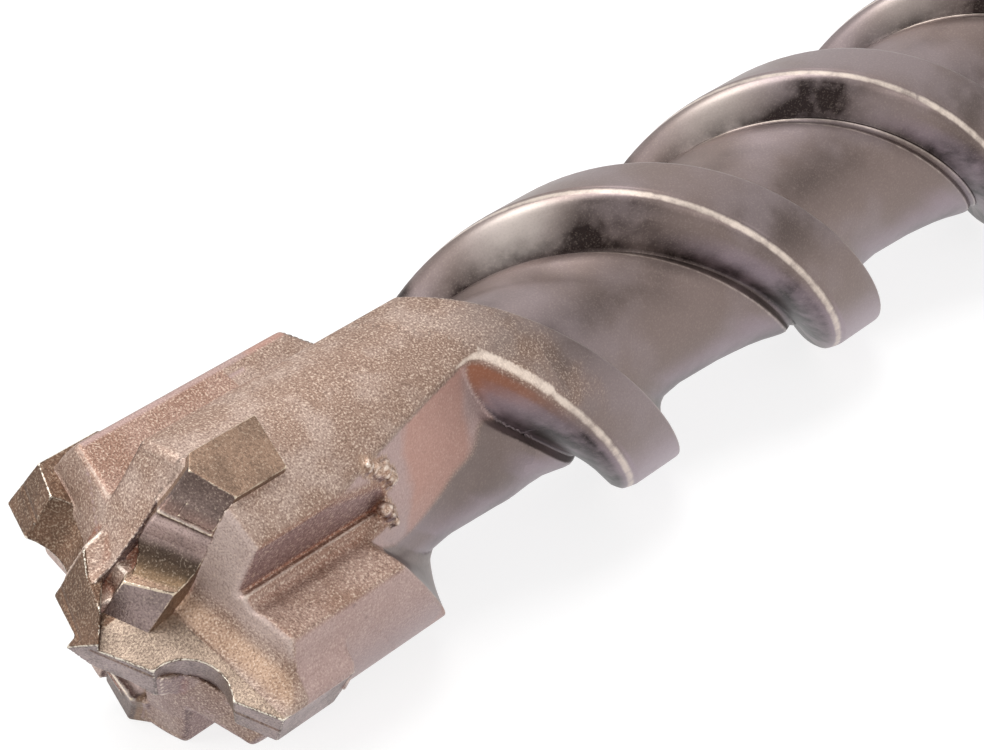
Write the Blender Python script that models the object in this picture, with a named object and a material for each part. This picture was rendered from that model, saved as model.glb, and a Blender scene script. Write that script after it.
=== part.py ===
"""A hammer drill bit with a four-edge head, a two-start flute and a slotted shank.

The bit is drawn along local X from its point, with Y across the main cutting plate and
Z across the two side plates. One empty then lays it on its lands, as it comes to rest.
Lengths are in millimetres until a mesh is made, and angles are in degrees.
"""
import math

import bmesh
import bpy
from mathutils import Matrix, Vector

MM = 0.001

# Whole bit
TOTAL_LENGTH = 210.0
REST_ROLL = 208.1          # turn about the axis at which the bit lies still
FIT_GAP = 0.3              # clearance of a brazed plate in its slot

# Bar and flute
LAND_RADIUS = 7.5
FLUTE_LEAD_LENGTH = 35.9
FLUTE_STARTS = 2
LAND_WIDTH = 3.6           # along the axis, crest edge to back edge
CREST_STATION = 29.5       # crest edge of the first land, where it crosses +Y
CORE_RADIUS = 4.65
CORE_SWELL = 5.4           # the floor rises to this before the next crest
CREST_FOOT_RADIUS = 5.05
CREST_FOOT_SETBACK = 1.8   # the crest flank leans forward by this much
REAR_FADE_TURN = 150.0     # the flute climbs out of the bar over this turn
REAR_RISE = 0.5            # how far past the lands it climbs
BACK_RISE = 0.4            # the cut goes this far past a land's back edge
CREST_RISE = 0.3           # and this far past a crest edge
FLUTE_STEP = 12.0          # turn between two sections of the flute
FLUTE_FIRST_ANGLE = -100.0

# Run-out of the flute behind the head, a tapering flat
RUNOUT_ANGLE = -28.6
RUNOUT_STATION = 10.5
RUNOUT_DISTANCE = 6.0
RUNOUT_TAPER = 8.1
RUNOUT_BEND = 40.0         # the floor bends inward by this past the flat's middle
RUNOUT_END_ANGLE = 30.0

# Head block
NARROW_WING = 3.45         # half width of the wings that hold the side plates
WIDE_WING = 3.75           # half width of the wings that hold the main plate
CORNER_FILLET = 0.5
GROOVE_REAR = 13.3
LONG_GROOVE_REAR = 22.0
FRONT_STATION = 4.75       # front edge of the bar
FRONT_KNEE_RADIUS = 4.0
FRONT_KNEE_STATION = 3.5
FRONT_TOP_RADIUS = 1.0
FRONT_TOP_STATION = 1.1
GASH_STATION = 4.2         # floor of the gash, produced to the axis
GASH_FALL = 0.085          # the floor falls back this much for each millimetre outward
GASH_FOOT = 0.45           # distance of the foot's bevel from the corner it breaks
GASH_INNER = 0.9           # where the gash starts, from the middle plane
PAD_FOOT = 2.3             # half width of the pad where it leaves the bar
PAD_REAR = 8.2
PAD_DROP = 0.15            # the pad's top lies this far inside the plate's end
PAD_CREST_WIDTH = 0.2
PAD_ROOT_DROP = 0.4        # the pad leaves the bar this far inside the lands
PAD_ROOT_DEPTH = 2.0

# Main cutting plate
PLATE_THICKNESS = 2.5
PLATE_OVERHANG = 0.77      # how far its cutting corner stands out past the lands
PLATE_RELIEF = 0.34        # its trailing side stands out this much less
ROOF_SLOPE = 0.49          # fall of the roof for each millimetre outward
FLANK_SLOPE = 0.416        # fall of the roof for each millimetre behind the edge
EDGE_LEAD_ANGLE = 7.75     # turn of a cutting edge from the plate's long axis
EDGE_LEAD_START = 0.11     # how far the edge leads at the middle of the bit
RAKE_SLOPE = 3.6           # fall of the gash's wall for each millimetre it leads
NOTCH_CENTRE = 4.85
NOTCH_STATION = 1.27
NOTCH_RADIUS = 1.91
PLATE_REAR = 8.5
PLATE_REAR_CHAMFER = 0.5

# Side cutting plates
SIDE_THICKNESS = 2.9
SIDE_OVERHANG = 0.25       # how far they stand out past the lands
SIDE_OUTER_STATION = 5.25
SIDE_SHELF_REACH = 4.3
SIDE_SHELF_STATION = 4.4
SIDE_STEP_REACH = 3.0
SIDE_STEP_STATION = 3.15
SIDE_TOP_STATION = 2.6
SIDE_STEP_FALL = 0.1       # fall of the shelf towards the step
SIDE_STEP_WIDTH = 0.4
SIDE_REAR = 8.6

# Neck and shank
NECK_RADIUS = 6.4
NECK_LENGTH = 7.0
NECK_SHOULDER_LENGTH = 4.0  # from the neck down to the shank
PLAIN_BAR_LENGTH = 4.0     # full bar between the flute's end and the neck
SHANK_ROOT_LENGTH = 0.6
SHANK_ROOT_RADIUS = 5.25
SHANK_RADIUS = 5.0
SHANK_LENGTH = 43.0
SHANK_CHAMFER = 0.9
DRIVE_SLOT_WIDTH = 2.8
DRIVE_SLOT_DEPTH = 1.6
DRIVE_SLOT_LENGTH = 31.0
DRIVE_SLOT_RISE_LENGTH = 4.2
DRIVE_SLOT_BEND_LENGTH = 1.8
BALL_GROOVE_RADIUS = 2.6
BALL_GROOVE_DEPTH = 1.7
BALL_GROOVE_START = 9.0    # from the shank's end face
BALL_GROOVE_LENGTH = 19.0
BALL_END_ANGLE = 6.0       # its round ends stop this near their pole

FLAT_ANGLE = 0.01          # a facet that bends by more than this is split
BAR_SEGMENTS = 48
NOTCH_SEGMENTS = 32
BALL_SEGMENTS = 16
BALL_END_STEPS = 4
CUT_MARGIN = 3.0

SHANK_FRONT = TOTAL_LENGTH - SHANK_LENGTH
NECK_REAR = SHANK_FRONT - NECK_SHOULDER_LENGTH
NECK_FRONT = NECK_REAR - NECK_LENGTH
FLUTE_REAR = NECK_FRONT - PLAIN_BAR_LENGTH
CREST_PER_DEGREE = FLUTE_LEAD_LENGTH / 360.0
FLUTE_PITCH = FLUTE_LEAD_LENGTH / FLUTE_STARTS
PLATE_REACH = LAND_RADIUS + PLATE_OVERHANG
SIDE_REACH = LAND_RADIUS + SIDE_OVERHANG
PLATE_HALF = PLATE_THICKNESS / 2
SIDE_HALF = SIDE_THICKNESS / 2


def clear_scene():
    """Remove every object that the scene holds."""
    for item in list(bpy.data.objects):
        bpy.data.objects.remove(item, do_unlink=True)


def principled(name, colour, roughness, metallic):
    """Make a Principled material."""
    material = bpy.data.materials.new(name)
    material.use_nodes = True
    shader = material.node_tree.nodes["Principled BSDF"]
    shader.inputs["Base Color"].default_value = (*colour, 1.0)
    shader.inputs["Roughness"].default_value = roughness
    shader.inputs["Metallic"].default_value = metallic
    return material


def add_object(name, mesh, parent, material=None):
    """Link a mesh as an object under the bit's axis."""
    item = bpy.data.objects.new(name, mesh)
    bpy.context.scene.collection.objects.link(item)
    item.parent = parent
    if material:
        mesh.materials.append(material)
    return item


def finish_mesh(bm, name):
    """Turn a bmesh drawn in millimetres into a mesh in metres, faces outward."""
    bmesh.ops.recalc_face_normals(bm, faces=bm.faces)
    bmesh.ops.scale(bm, vec=Vector((MM, MM, MM)), verts=bm.verts)
    mesh = bpy.data.meshes.new(name)
    bm.to_mesh(mesh)
    bm.free()
    return mesh


def loft(sections, name):
    """Close a body of flat facets round a list of sections, rings with as many points."""
    bm = bmesh.new()
    rings = [[bm.verts.new(point) for point in section] for section in sections]
    count = len(rings[0])
    sides = []
    for ring, following in zip(rings, rings[1:]):
        for i in range(count):
            j = (i + 1) % count
            sides.append(bm.faces.new((ring[i], ring[j], following[j], following[i])))
    bmesh.ops.connect_verts_nonplanar(bm, angle_limit=math.radians(FLAT_ANGLE), faces=sides)
    bm.faces.new(rings[0])
    bm.faces.new(reversed(rings[-1]))
    return finish_mesh(bm, name)


def lathe(profile, name, segments=BAR_SEGMENTS):
    """Turn (station, radius) points about the axis."""
    sections = []
    for station, radius in profile:
        ring = []
        for i in range(segments):
            turn = 2 * math.pi * (i + 0.5) / segments
            ring.append((station, radius * math.cos(turn), radius * math.sin(turn)))
        sections.append(ring)
    return loft(sections, name)


def box(low, high, name):
    """Make a plain block between two corners."""
    return cut_block(low, high, [], name)


def cut_block(low, high, planes, name):
    """Make a block and keep what lies behind each (point, outward normal) plane."""
    bm = bmesh.new()
    bmesh.ops.create_cube(bm, size=1.0)
    size = Vector(high) - Vector(low)
    middle = (Vector(high) + Vector(low)) / 2
    bmesh.ops.scale(bm, vec=size, verts=bm.verts)
    bmesh.ops.translate(bm, vec=middle, verts=bm.verts)
    for point, normal in planes:
        everything = bm.verts[:] + bm.edges[:] + bm.faces[:]
        sliced = bmesh.ops.bisect_plane(
            bm, geom=everything, plane_co=point, plane_no=normal, clear_outer=True)
        rim = [g for g in sliced["geom_cut"] if isinstance(g, bmesh.types.BMEdge)]
        bmesh.ops.edgenet_fill(bm, edges=rim)
    return finish_mesh(bm, name)


def prism(outline, axis, start, end, name):
    """Extrude an outline of (first, second) points along Y or Z."""
    sections = []
    for offset in (start, end):
        if axis == "Y":
            sections.append([(x, offset, z) for x, z in outline])
        else:
            sections.append([(x, y, offset) for x, y in outline])
    return loft(sections, name)


def arc(centre, radius, start, end, steps):
    """Points on an arc from start to end degrees."""
    points = []
    for i in range(steps + 1):
        turn = math.radians(start + (end - start) * i / steps)
        points.append((centre[0] + radius * math.cos(turn), centre[1] + radius * math.sin(turn)))
    return points


def cut(target, tool, label, operation="DIFFERENCE"):
    """Give the target a Boolean with the tool, which is hidden."""
    tool.display_type = "WIRE"
    tool.hide_render = True
    modifier = target.modifiers.new(label, "BOOLEAN")
    modifier.operation = operation
    modifier.solver = "EXACT"
    modifier.object = tool


def half_turn(item):
    """Copy an object to the other side of the axis."""
    twin = item.copy()
    twin.name = item.name + "_opposite"
    bpy.context.scene.collection.objects.link(twin)
    twin.rotation_euler = (math.pi, 0, 0)
    return twin


def crest_station(angle):
    """Where the crest edge of the first land lies along the axis."""
    return CREST_STATION + CREST_PER_DEGREE * angle


def direction(angle):
    """Unit vector away from the axis at an angle."""
    turn = math.radians(angle)
    return Vector((0.0, math.cos(turn), math.sin(turn)))


def runout_mesh():
    """Steel that the flute leaves behind the head: a tapering flat that bends inward."""
    far = LAND_RADIUS + 2 * CUT_MARGIN
    taper = math.tan(math.radians(RUNOUT_TAPER))
    flat = direction(RUNOUT_ANGLE)
    point = flat * RUNOUT_DISTANCE
    point.x = RUNOUT_STATION
    bend = direction(RUNOUT_ANGLE + RUNOUT_BEND)
    flat.x = taper
    bend.x = taper * math.cos(math.radians(RUNOUT_BEND))
    end = direction(RUNOUT_END_ANGLE + 90.0)
    planes = [(point, flat), (point, bend), (Vector(), end)]
    return cut_block((0.0, -far, -far), (CREST_STATION, far, far), planes, "runout")


def rear_radius(angle):
    """Radius of the flute floor where it climbs out at its rear end."""
    last = (FLUTE_REAR - CREST_STATION) / CREST_PER_DEGREE
    climbed = (angle - last + REAR_FADE_TURN) / REAR_FADE_TURN
    if climbed <= 0:
        return 0.0
    return CORE_RADIUS + (LAND_RADIUS + REAR_RISE - CORE_RADIUS) * math.sin(climbed * math.pi / 2)


def flute_section():
    """Floor of the flute as (distance from the crest edge, radius) points, front to rear."""
    back_edge = LAND_WIDTH - FLUTE_PITCH
    depth = LAND_RADIUS - CORE_RADIUS
    swell = CORE_SWELL - CORE_RADIUS
    return [
        (back_edge, LAND_RADIUS),
        (back_edge + 0.25 * depth, CORE_RADIUS + 0.45 * depth),
        (back_edge + 0.60 * depth, CORE_RADIUS + 0.13 * depth),
        (back_edge + 1.15 * depth, CORE_RADIUS),
        (back_edge * 0.55, CORE_RADIUS + 0.15 * swell),
        (back_edge * 0.35, CORE_RADIUS + 0.55 * swell),
        (-1.55 * CREST_FOOT_SETBACK, CORE_SWELL),
        (-CREST_FOOT_SETBACK, CREST_FOOT_RADIUS),
        (-0.55 * CREST_FOOT_SETBACK, 0.67 * CREST_FOOT_RADIUS + 0.33 * LAND_RADIUS),
        (0.0, LAND_RADIUS),
    ]


def spread(start, end, step):
    """Even values from start to end, about a step apart."""
    count = round((end - start) / step)
    return [start + (end - start) * i / count for i in range(count + 1)]


def flute_tool():
    """Sweep the flute's section round the axis, from the head to the neck."""
    top = LAND_RADIUS + CUT_MARGIN
    floor = flute_section()
    last = (FLUTE_REAR - CREST_STATION) / CREST_PER_DEGREE
    sections = []
    for angle in spread(FLUTE_FIRST_ANGLE, last, FLUTE_STEP):
        turn = math.radians(angle)
        ring = []
        first_offset = floor[0][0] - BACK_RISE
        last_offset = floor[-1][0] + CREST_RISE
        for offset, radius in [(first_offset, top)] + floor + [(last_offset, top)]:
            station = crest_station(angle) + offset
            level = min(max(radius, rear_radius(angle)), top)
            ring.append((station, level * math.cos(turn), level * math.sin(turn)))
        sections.append(ring)
    return loft(sections, "flute_tool")


def corner_outline(across, along):
    """Cross outline of a groove between two wings, with a filleted corner."""
    far = LAND_RADIUS + CUT_MARGIN
    rounding = arc((across + CORNER_FILLET, along + CORNER_FILLET), CORNER_FILLET, 270, 180, 4)
    return [(far, along)] + rounding + [(across, far), (far, far)]


def corner_tool(side, rear, name):
    """Groove between a wide and a narrow wing; side is the sign of Y, on the low Z side."""
    outline = corner_outline(NARROW_WING, WIDE_WING)
    sections = []
    for station in (-CUT_MARGIN, rear):
        sections.append([(station, side * y, -z) for y, z in outline])
    return loft(sections, name)


def front_cone_tool():
    """What lies ahead of the turned front, kept to the sector behind the cutting edge."""
    wide = LAND_RADIUS + CUT_MARGIN
    slope = (FRONT_STATION - FRONT_KNEE_STATION) / (LAND_RADIUS - FRONT_KNEE_RADIUS)
    profile = [
        (-CUT_MARGIN, wide),
        (FRONT_STATION + slope * CUT_MARGIN, wide),
        (FRONT_KNEE_STATION, FRONT_KNEE_RADIUS),
        (FRONT_TOP_STATION, FRONT_TOP_RADIUS),
    ]
    return lathe(profile, "front_cone_tool")


def edge_lead(across):
    """How far the cutting edge lies ahead of the plate's middle plane."""
    return EDGE_LEAD_START + across * math.tan(math.radians(EDGE_LEAD_ANGLE))


def edge_point(across):
    """A point of the cutting edge, where the roof meets the gash's wall."""
    lead = edge_lead(across)
    return Vector((ROOF_SLOPE * across - FLANK_SLOPE * lead, across, -lead))


def gash_tool():
    """Wedge that opens the front ahead of a cutting edge, with a bevel at its foot."""
    far = LAND_RADIUS + CUT_MARGIN
    along = edge_point(1.0) - edge_point(0.0)
    down = Vector((RAKE_SLOPE, 0.0, -1.0))
    wall = along.cross(down).normalized()
    if wall.z < 0:
        wall = -wall
    floor = Vector((1.0, -GASH_FALL, GASH_FALL / 2)).normalized()
    floor_point = Vector((GASH_STATION, 0.0, 0.0))
    foot = (wall + floor).normalized()
    corner_line = wall.cross(floor)
    corner = intersect_planes(edge_point(0.0), wall, floor_point, floor, corner_line)
    foot_point = corner - foot * GASH_FOOT
    planes = [(edge_point(0.0), wall), (floor_point, floor), (foot_point, foot)]
    return cut_block((-2 * far, GASH_INNER, -far), (far, far, far), planes, "gash_tool")


def intersect_planes(first_point, first, second_point, second, line):
    """The point on both planes and on the plane through the middle, square to their line."""
    rows = Matrix((first, second, line))
    target = Vector((first.dot(first_point), second.dot(second_point), 0.0))
    return rows.inverted() @ target


def pad_mesh():
    """Steel beside the main plate that stands out past the lands."""
    inside = LAND_RADIUS - PAD_ROOT_DEPTH
    foot = LAND_RADIUS - PAD_ROOT_DROP
    top = PLATE_REACH - PAD_DROP
    outline = [
        (inside, 0.0), (inside, -PAD_FOOT), (foot, -PAD_FOOT),
        (top, -PLATE_HALF - FIT_GAP - PAD_CREST_WIDTH), (top, 0.0)]
    sections = [[(station, y, z) for y, z in outline] for station in (0.0, PAD_REAR)]
    return loft(sections, "pad")


def main_plate_mesh():
    """Blank of the main plate, before its roof is ground."""
    outline = [
        (-CUT_MARGIN, -PLATE_REACH),
        (-CUT_MARGIN, PLATE_REACH),
        (PLATE_REAR - PLATE_REAR_CHAMFER, PLATE_REACH),
        (PLATE_REAR, PLATE_REACH - PLATE_REAR_CHAMFER),
        (PLATE_REAR, PLATE_REAR_CHAMFER - PLATE_REACH),
        (PLATE_REAR - PLATE_REAR_CHAMFER, -PLATE_REACH),
    ]
    return prism(outline, "Z", -PLATE_HALF, PLATE_HALF, "main_plate")


def roof_tool():
    """Half-space ahead of one flank of the main plate's roof."""
    far = LAND_RADIUS + CUT_MARGIN
    normal = Vector((1.0, -ROOF_SLOPE, -FLANK_SLOPE))
    return cut_block((-far, -far, -far), (far, far, far), [(edge_point(0.0), normal)], "roof_tool")


def relief_tool():
    """Radial relief at the outer end of the main plate, behind its cutting corner."""
    far = LAND_RADIUS + CUT_MARGIN
    corner = (0.0, PLATE_REACH, -PLATE_HALF)
    normal = Vector((0.0, -PLATE_THICKNESS, -PLATE_RELIEF))
    return cut_block(
        (-far, 0.0, -far), (far, far, far), [(corner, normal)], "relief_tool")


def notch_tool():
    """Round bar that grinds the half-round notch across the plate, along its flank."""
    sections = []
    for depth in (-PLATE_HALF - CUT_MARGIN, PLATE_HALF + FIT_GAP):
        station = NOTCH_STATION + FLANK_SLOPE * (depth + edge_lead(NOTCH_CENTRE))
        centre = (station, NOTCH_CENTRE)
        rim = arc(centre, NOTCH_RADIUS, 0, 360 - 360 / NOTCH_SEGMENTS, NOTCH_SEGMENTS - 1)
        sections.append([(x, y, depth) for x, y in rim])
    return loft(sections, "notch_tool")


def side_plate_mesh():
    """Side plate with its stepped cutting face, on the low Z side."""
    inner = PLATE_HALF + 2 * FIT_GAP
    outline = [
        (SIDE_REAR, -SIDE_REACH),
        (SIDE_OUTER_STATION, -SIDE_REACH),
        (SIDE_SHELF_STATION, -SIDE_SHELF_REACH),
        (SIDE_SHELF_STATION - SIDE_STEP_FALL, -SIDE_STEP_REACH - SIDE_STEP_WIDTH),
        (SIDE_STEP_STATION, -SIDE_STEP_REACH),
        (SIDE_TOP_STATION, -inner),
        (SIDE_REAR, -inner),
    ]
    return prism(outline, "Y", -SIDE_HALF, SIDE_HALF, "side_plate")


def bar_profile():
    """The turned blank: bar, neck, shoulder and shank, as (station, radius) points."""
    return [
        (-CUT_MARGIN / 2, LAND_RADIUS),
        (NECK_FRONT, LAND_RADIUS),
        (NECK_FRONT + LAND_RADIUS - NECK_RADIUS, NECK_RADIUS),
        (NECK_REAR, NECK_RADIUS),
        (SHANK_FRONT - SHANK_ROOT_LENGTH, SHANK_ROOT_RADIUS),
        (SHANK_FRONT, SHANK_RADIUS),
        (TOTAL_LENGTH - SHANK_CHAMFER, SHANK_RADIUS),
        (TOTAL_LENGTH, SHANK_RADIUS - SHANK_CHAMFER),
    ]


def drive_slot_tool():
    """Open slot of the shank, which runs out at its front end."""
    floor = SHANK_RADIUS - DRIVE_SLOT_DEPTH
    front = TOTAL_LENGTH - DRIVE_SLOT_LENGTH
    top = SHANK_RADIUS + CUT_MARGIN
    outline = [
        (TOTAL_LENGTH + CUT_MARGIN, floor),
        (TOTAL_LENGTH + CUT_MARGIN, top),
        (front - DRIVE_SLOT_RISE_LENGTH + DRIVE_SLOT_BEND_LENGTH / 2, top),
        (front - DRIVE_SLOT_BEND_LENGTH / 2, SHANK_RADIUS - 0.4 * DRIVE_SLOT_DEPTH),
        (front + DRIVE_SLOT_BEND_LENGTH / 2, floor),
    ]
    half = DRIVE_SLOT_WIDTH / 2
    return prism(outline, "Y", -half, half, "drive_slot_tool")


def ball_groove_tool():
    """Closed groove of the shank, a round bar with round ends, along +Y."""
    away = SHANK_RADIUS - BALL_GROOVE_DEPTH + BALL_GROOVE_RADIUS
    rear = TOTAL_LENGTH - BALL_GROOVE_START - BALL_GROOVE_RADIUS
    front = TOTAL_LENGTH - BALL_GROOVE_START - BALL_GROOVE_LENGTH + BALL_GROOVE_RADIUS
    profile = arc((front, 0.0), BALL_GROOVE_RADIUS, 180 - BALL_END_ANGLE, 90, BALL_END_STEPS)
    profile += arc((rear, 0.0), BALL_GROOVE_RADIUS, 90, BALL_END_ANGLE, BALL_END_STEPS)
    mesh = lathe(profile, "ball_groove_tool", BALL_SEGMENTS)
    mesh.transform(Matrix.Translation((0.0, away * MM, 0.0)))
    return mesh


def slot_meshes():
    """Slots of the three plates, each a fit gap larger than its plate."""
    wide = PLATE_REACH + CUT_MARGIN
    main = box(
        (-2 * CUT_MARGIN, -wide, -PLATE_HALF - FIT_GAP),
        (PLATE_REAR + FIT_GAP, wide, PLATE_HALF + FIT_GAP), "main_slot")
    side_wide = SIDE_REACH + CUT_MARGIN
    side = box(
        (-2 * CUT_MARGIN, -SIDE_HALF - FIT_GAP, -side_wide),
        (SIDE_REAR + FIT_GAP, SIDE_HALF + FIT_GAP, side_wide), "side_slot")
    return main, side


def sector_mesh(name):
    """The quarter behind a cutting edge, which the turned front takes."""
    far = LAND_RADIUS + 2 * CUT_MARGIN
    return box((-2 * CUT_MARGIN, -far, -far), (2 * FRONT_STATION, SIDE_HALF, 0.0), name)


def trimmed_pair(tool, keeper, label, operation):
    """Trim a tool with a keeper, and give the same on the other side of the axis."""
    cut(tool, keeper, label, operation)
    twin = half_turn(tool)
    twin.modifiers.clear()
    cut(twin, half_turn(keeper), label, operation)
    return tool, twin


def build_steel_body(axis, steel):
    """Cut the one-piece steel body from its turned blank."""
    body = add_object("steel_body", lathe(bar_profile(), "steel_body"), axis, steel)
    pad = add_object("pad", pad_mesh(), axis)
    for part in (pad, half_turn(pad)):
        cut(body, part, "pad", "UNION")
    flute = add_object("flute", flute_tool(), axis)
    runout = add_object("runout", runout_mesh(), axis)
    for part in trimmed_pair(flute, runout, "runout", "DIFFERENCE"):
        cut(body, part, "flute")
    gash = add_object("gash", gash_tool(), axis)
    groove = add_object("groove", corner_tool(1, GROOVE_REAR, "groove"), axis)
    long_groove = add_object("long_groove", corner_tool(-1, LONG_GROOVE_REAR, "long_groove"), axis)
    notch = add_object("notch", notch_tool(), axis)
    for tool in (gash, groove, long_groove, notch):
        for part in (tool, half_turn(tool)):
            cut(body, part, tool.name)
    cone = add_object("front_cone", front_cone_tool(), axis)
    sector = add_object("front_sector", sector_mesh("front_sector"), axis)
    for part in trimmed_pair(cone, sector, "sector", "INTERSECT"):
        cut(body, part, "front")
    for slot in slot_meshes():
        cut(body, add_object(slot.name, slot, axis), slot.name)
    drive = add_object("drive_slot", drive_slot_tool(), axis)
    ball = add_object("ball_groove", ball_groove_tool(), axis)
    for tool in (drive, ball):
        for part in (tool, half_turn(tool)):
            cut(body, part, tool.name)
    return body


def build_main_plate(axis, carbide):
    """Grind the roof, the relief and the notches of the main cutting plate."""
    plate = add_object("main_plate", main_plate_mesh(), axis, carbide)
    roof = add_object("roof", roof_tool(), axis)
    relief = add_object("relief", relief_tool(), axis)
    notch = add_object("plate_notch", notch_tool(), axis)
    gash = add_object("plate_gash", gash_tool(), axis)
    for tool in (roof, relief, notch, gash):
        for part in (tool, half_turn(tool)):
            cut(plate, part, tool.name)
    return plate


def build_side_plates(axis, carbide):
    """Set the two side plates across the main plate."""
    plates = []
    for number, turn in ((1, 0.0), (2, math.pi)):
        name = f"side_plate_{number}"
        plate = add_object(name, side_plate_mesh(), axis, carbide)
        plate.rotation_euler = (turn, 0, 0)
        plates.append(plate)
    return plates


def main():
    """Build the bit."""
    clear_scene()
    steel = principled("blasted_steel", (0.36, 0.30, 0.27), 0.45, 1.0)
    main_carbide = principled("main_carbide", (0.40, 0.33, 0.30), 0.40, 1.0)
    side_carbide = principled("side_carbide", (0.25, 0.20, 0.16), 0.38, 1.0)
    axis = bpy.data.objects.new("bit_axis", None)
    bpy.context.scene.collection.objects.link(axis)
    axis.location = (-TOTAL_LENGTH * MM, 0.0, 0.0)
    axis.rotation_euler = (math.radians(REST_ROLL), 0.0, 0.0)
    build_steel_body(axis, steel)
    build_main_plate(axis, main_carbide)
    build_side_plates(axis, side_carbide)


main()
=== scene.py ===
"""Looks of a masonry hammer drill bit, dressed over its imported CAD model.

Every visible surface is written as a signed distance, in millimetres, in the bit's own
frame: X from the point to the shank, Y across the main plate, Z across the side plates.
Nets are then drawn over those distances, so that edges are as soft as the real ones.
"""

import logging
import math
from dataclasses import dataclass, field
from enum import Enum
from typing import Callable

import bpy
import numpy as np
from mathutils import Euler, Matrix, Vector

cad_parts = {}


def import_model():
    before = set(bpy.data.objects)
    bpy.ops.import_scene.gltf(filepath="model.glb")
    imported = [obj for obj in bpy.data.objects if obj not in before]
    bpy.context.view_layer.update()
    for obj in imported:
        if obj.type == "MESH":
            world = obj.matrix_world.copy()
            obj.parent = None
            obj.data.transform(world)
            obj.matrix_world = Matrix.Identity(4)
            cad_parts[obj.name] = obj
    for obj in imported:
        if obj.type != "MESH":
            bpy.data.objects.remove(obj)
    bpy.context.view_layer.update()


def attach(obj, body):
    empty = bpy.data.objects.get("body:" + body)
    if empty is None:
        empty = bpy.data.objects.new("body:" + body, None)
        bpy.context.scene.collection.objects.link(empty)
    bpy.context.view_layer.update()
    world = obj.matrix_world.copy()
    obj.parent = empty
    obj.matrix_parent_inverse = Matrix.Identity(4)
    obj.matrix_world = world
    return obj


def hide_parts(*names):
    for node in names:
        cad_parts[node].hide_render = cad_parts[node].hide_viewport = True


MM = 0.001
FAR = 99.0
Field = Callable[[np.ndarray], np.ndarray]
Tones = Callable[[np.ndarray, np.ndarray], dict[str, np.ndarray]]
log = logging.getLogger("drill_bit")


def smooth_max(a: np.ndarray, b: np.ndarray, width: float) -> np.ndarray:
    """Larger of two distances, rounded off where they meet.

    Args:
        a: First distance.
        b: Second distance.
        width: How far the rounding reaches, in millimetres.

    Returns:
        The blended distance.
    """
    near = np.maximum(width - np.abs(a - b), 0.0)
    return np.maximum(a, b) + near * near * (0.25 / width)


def smooth_min(a: np.ndarray, b: np.ndarray, width: float) -> np.ndarray:
    """Smaller of two distances, filled in where they meet."""
    return -smooth_max(-a, -b, width)


def rise(value: np.ndarray, low: float, high: float) -> np.ndarray:
    """Rise from 0 at low to 1 at high."""
    share = np.clip((value - low) / (high - low), 0.0, 1.0)
    return share * share * (3.0 - 2.0 * share)


def bell(value: np.ndarray, middle: float, width: float) -> np.ndarray:
    """Soft band round a value, 1 at its middle."""
    return np.exp(-(((value - middle) / width) ** 2))


def swell(angle: np.ndarray, middle: float, width: float) -> np.ndarray:
    """Soft band round an angle in degrees, the same on both halves of the bit."""
    return bell((angle - middle + 90.0) % 180.0 - 90.0, 0.0, width)


def swells(angle: np.ndarray, bands: tuple[tuple[float, float, float], ...]) -> np.ndarray:
    """Sum of soft bands, each given as its strength, middle and width."""
    return sum(strength * swell(angle, middle, width) for strength, middle, width in bands)


class Pose:
    """How the bit lies in the CAD frame: its length, and its turn about the axis."""

    length: float = 210.0
    rest_roll: float = 208.1

    @classmethod
    def shift(cls) -> tuple[float, float, float]:
        """Move from the CAD frame to the point of the bit, in metres."""
        return cls.length * MM, 0.0, 0.0

    @classmethod
    def roll(cls) -> float:
        """Turn about the axis, in radians."""
        return math.radians(cls.rest_roll)

    @classmethod
    def upward(cls) -> np.ndarray:
        """Direction of the CAD frame's up axis, in the bit's own frame."""
        return np.array([0.0, math.sin(cls.roll()), math.cos(cls.roll())])

    @classmethod
    def frame(cls) -> Matrix:
        """Matrix from the bit's own frame, in metres, to the CAD frame."""
        return Matrix.Translation(-Vector(cls.shift())) @ Matrix.Rotation(cls.roll(), 4, "X")


def unit(angle: float) -> tuple[float, float]:
    """Sideways direction at an angle in degrees, as its Y and Z."""
    return math.cos(math.radians(angle)), math.sin(math.radians(angle))


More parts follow.
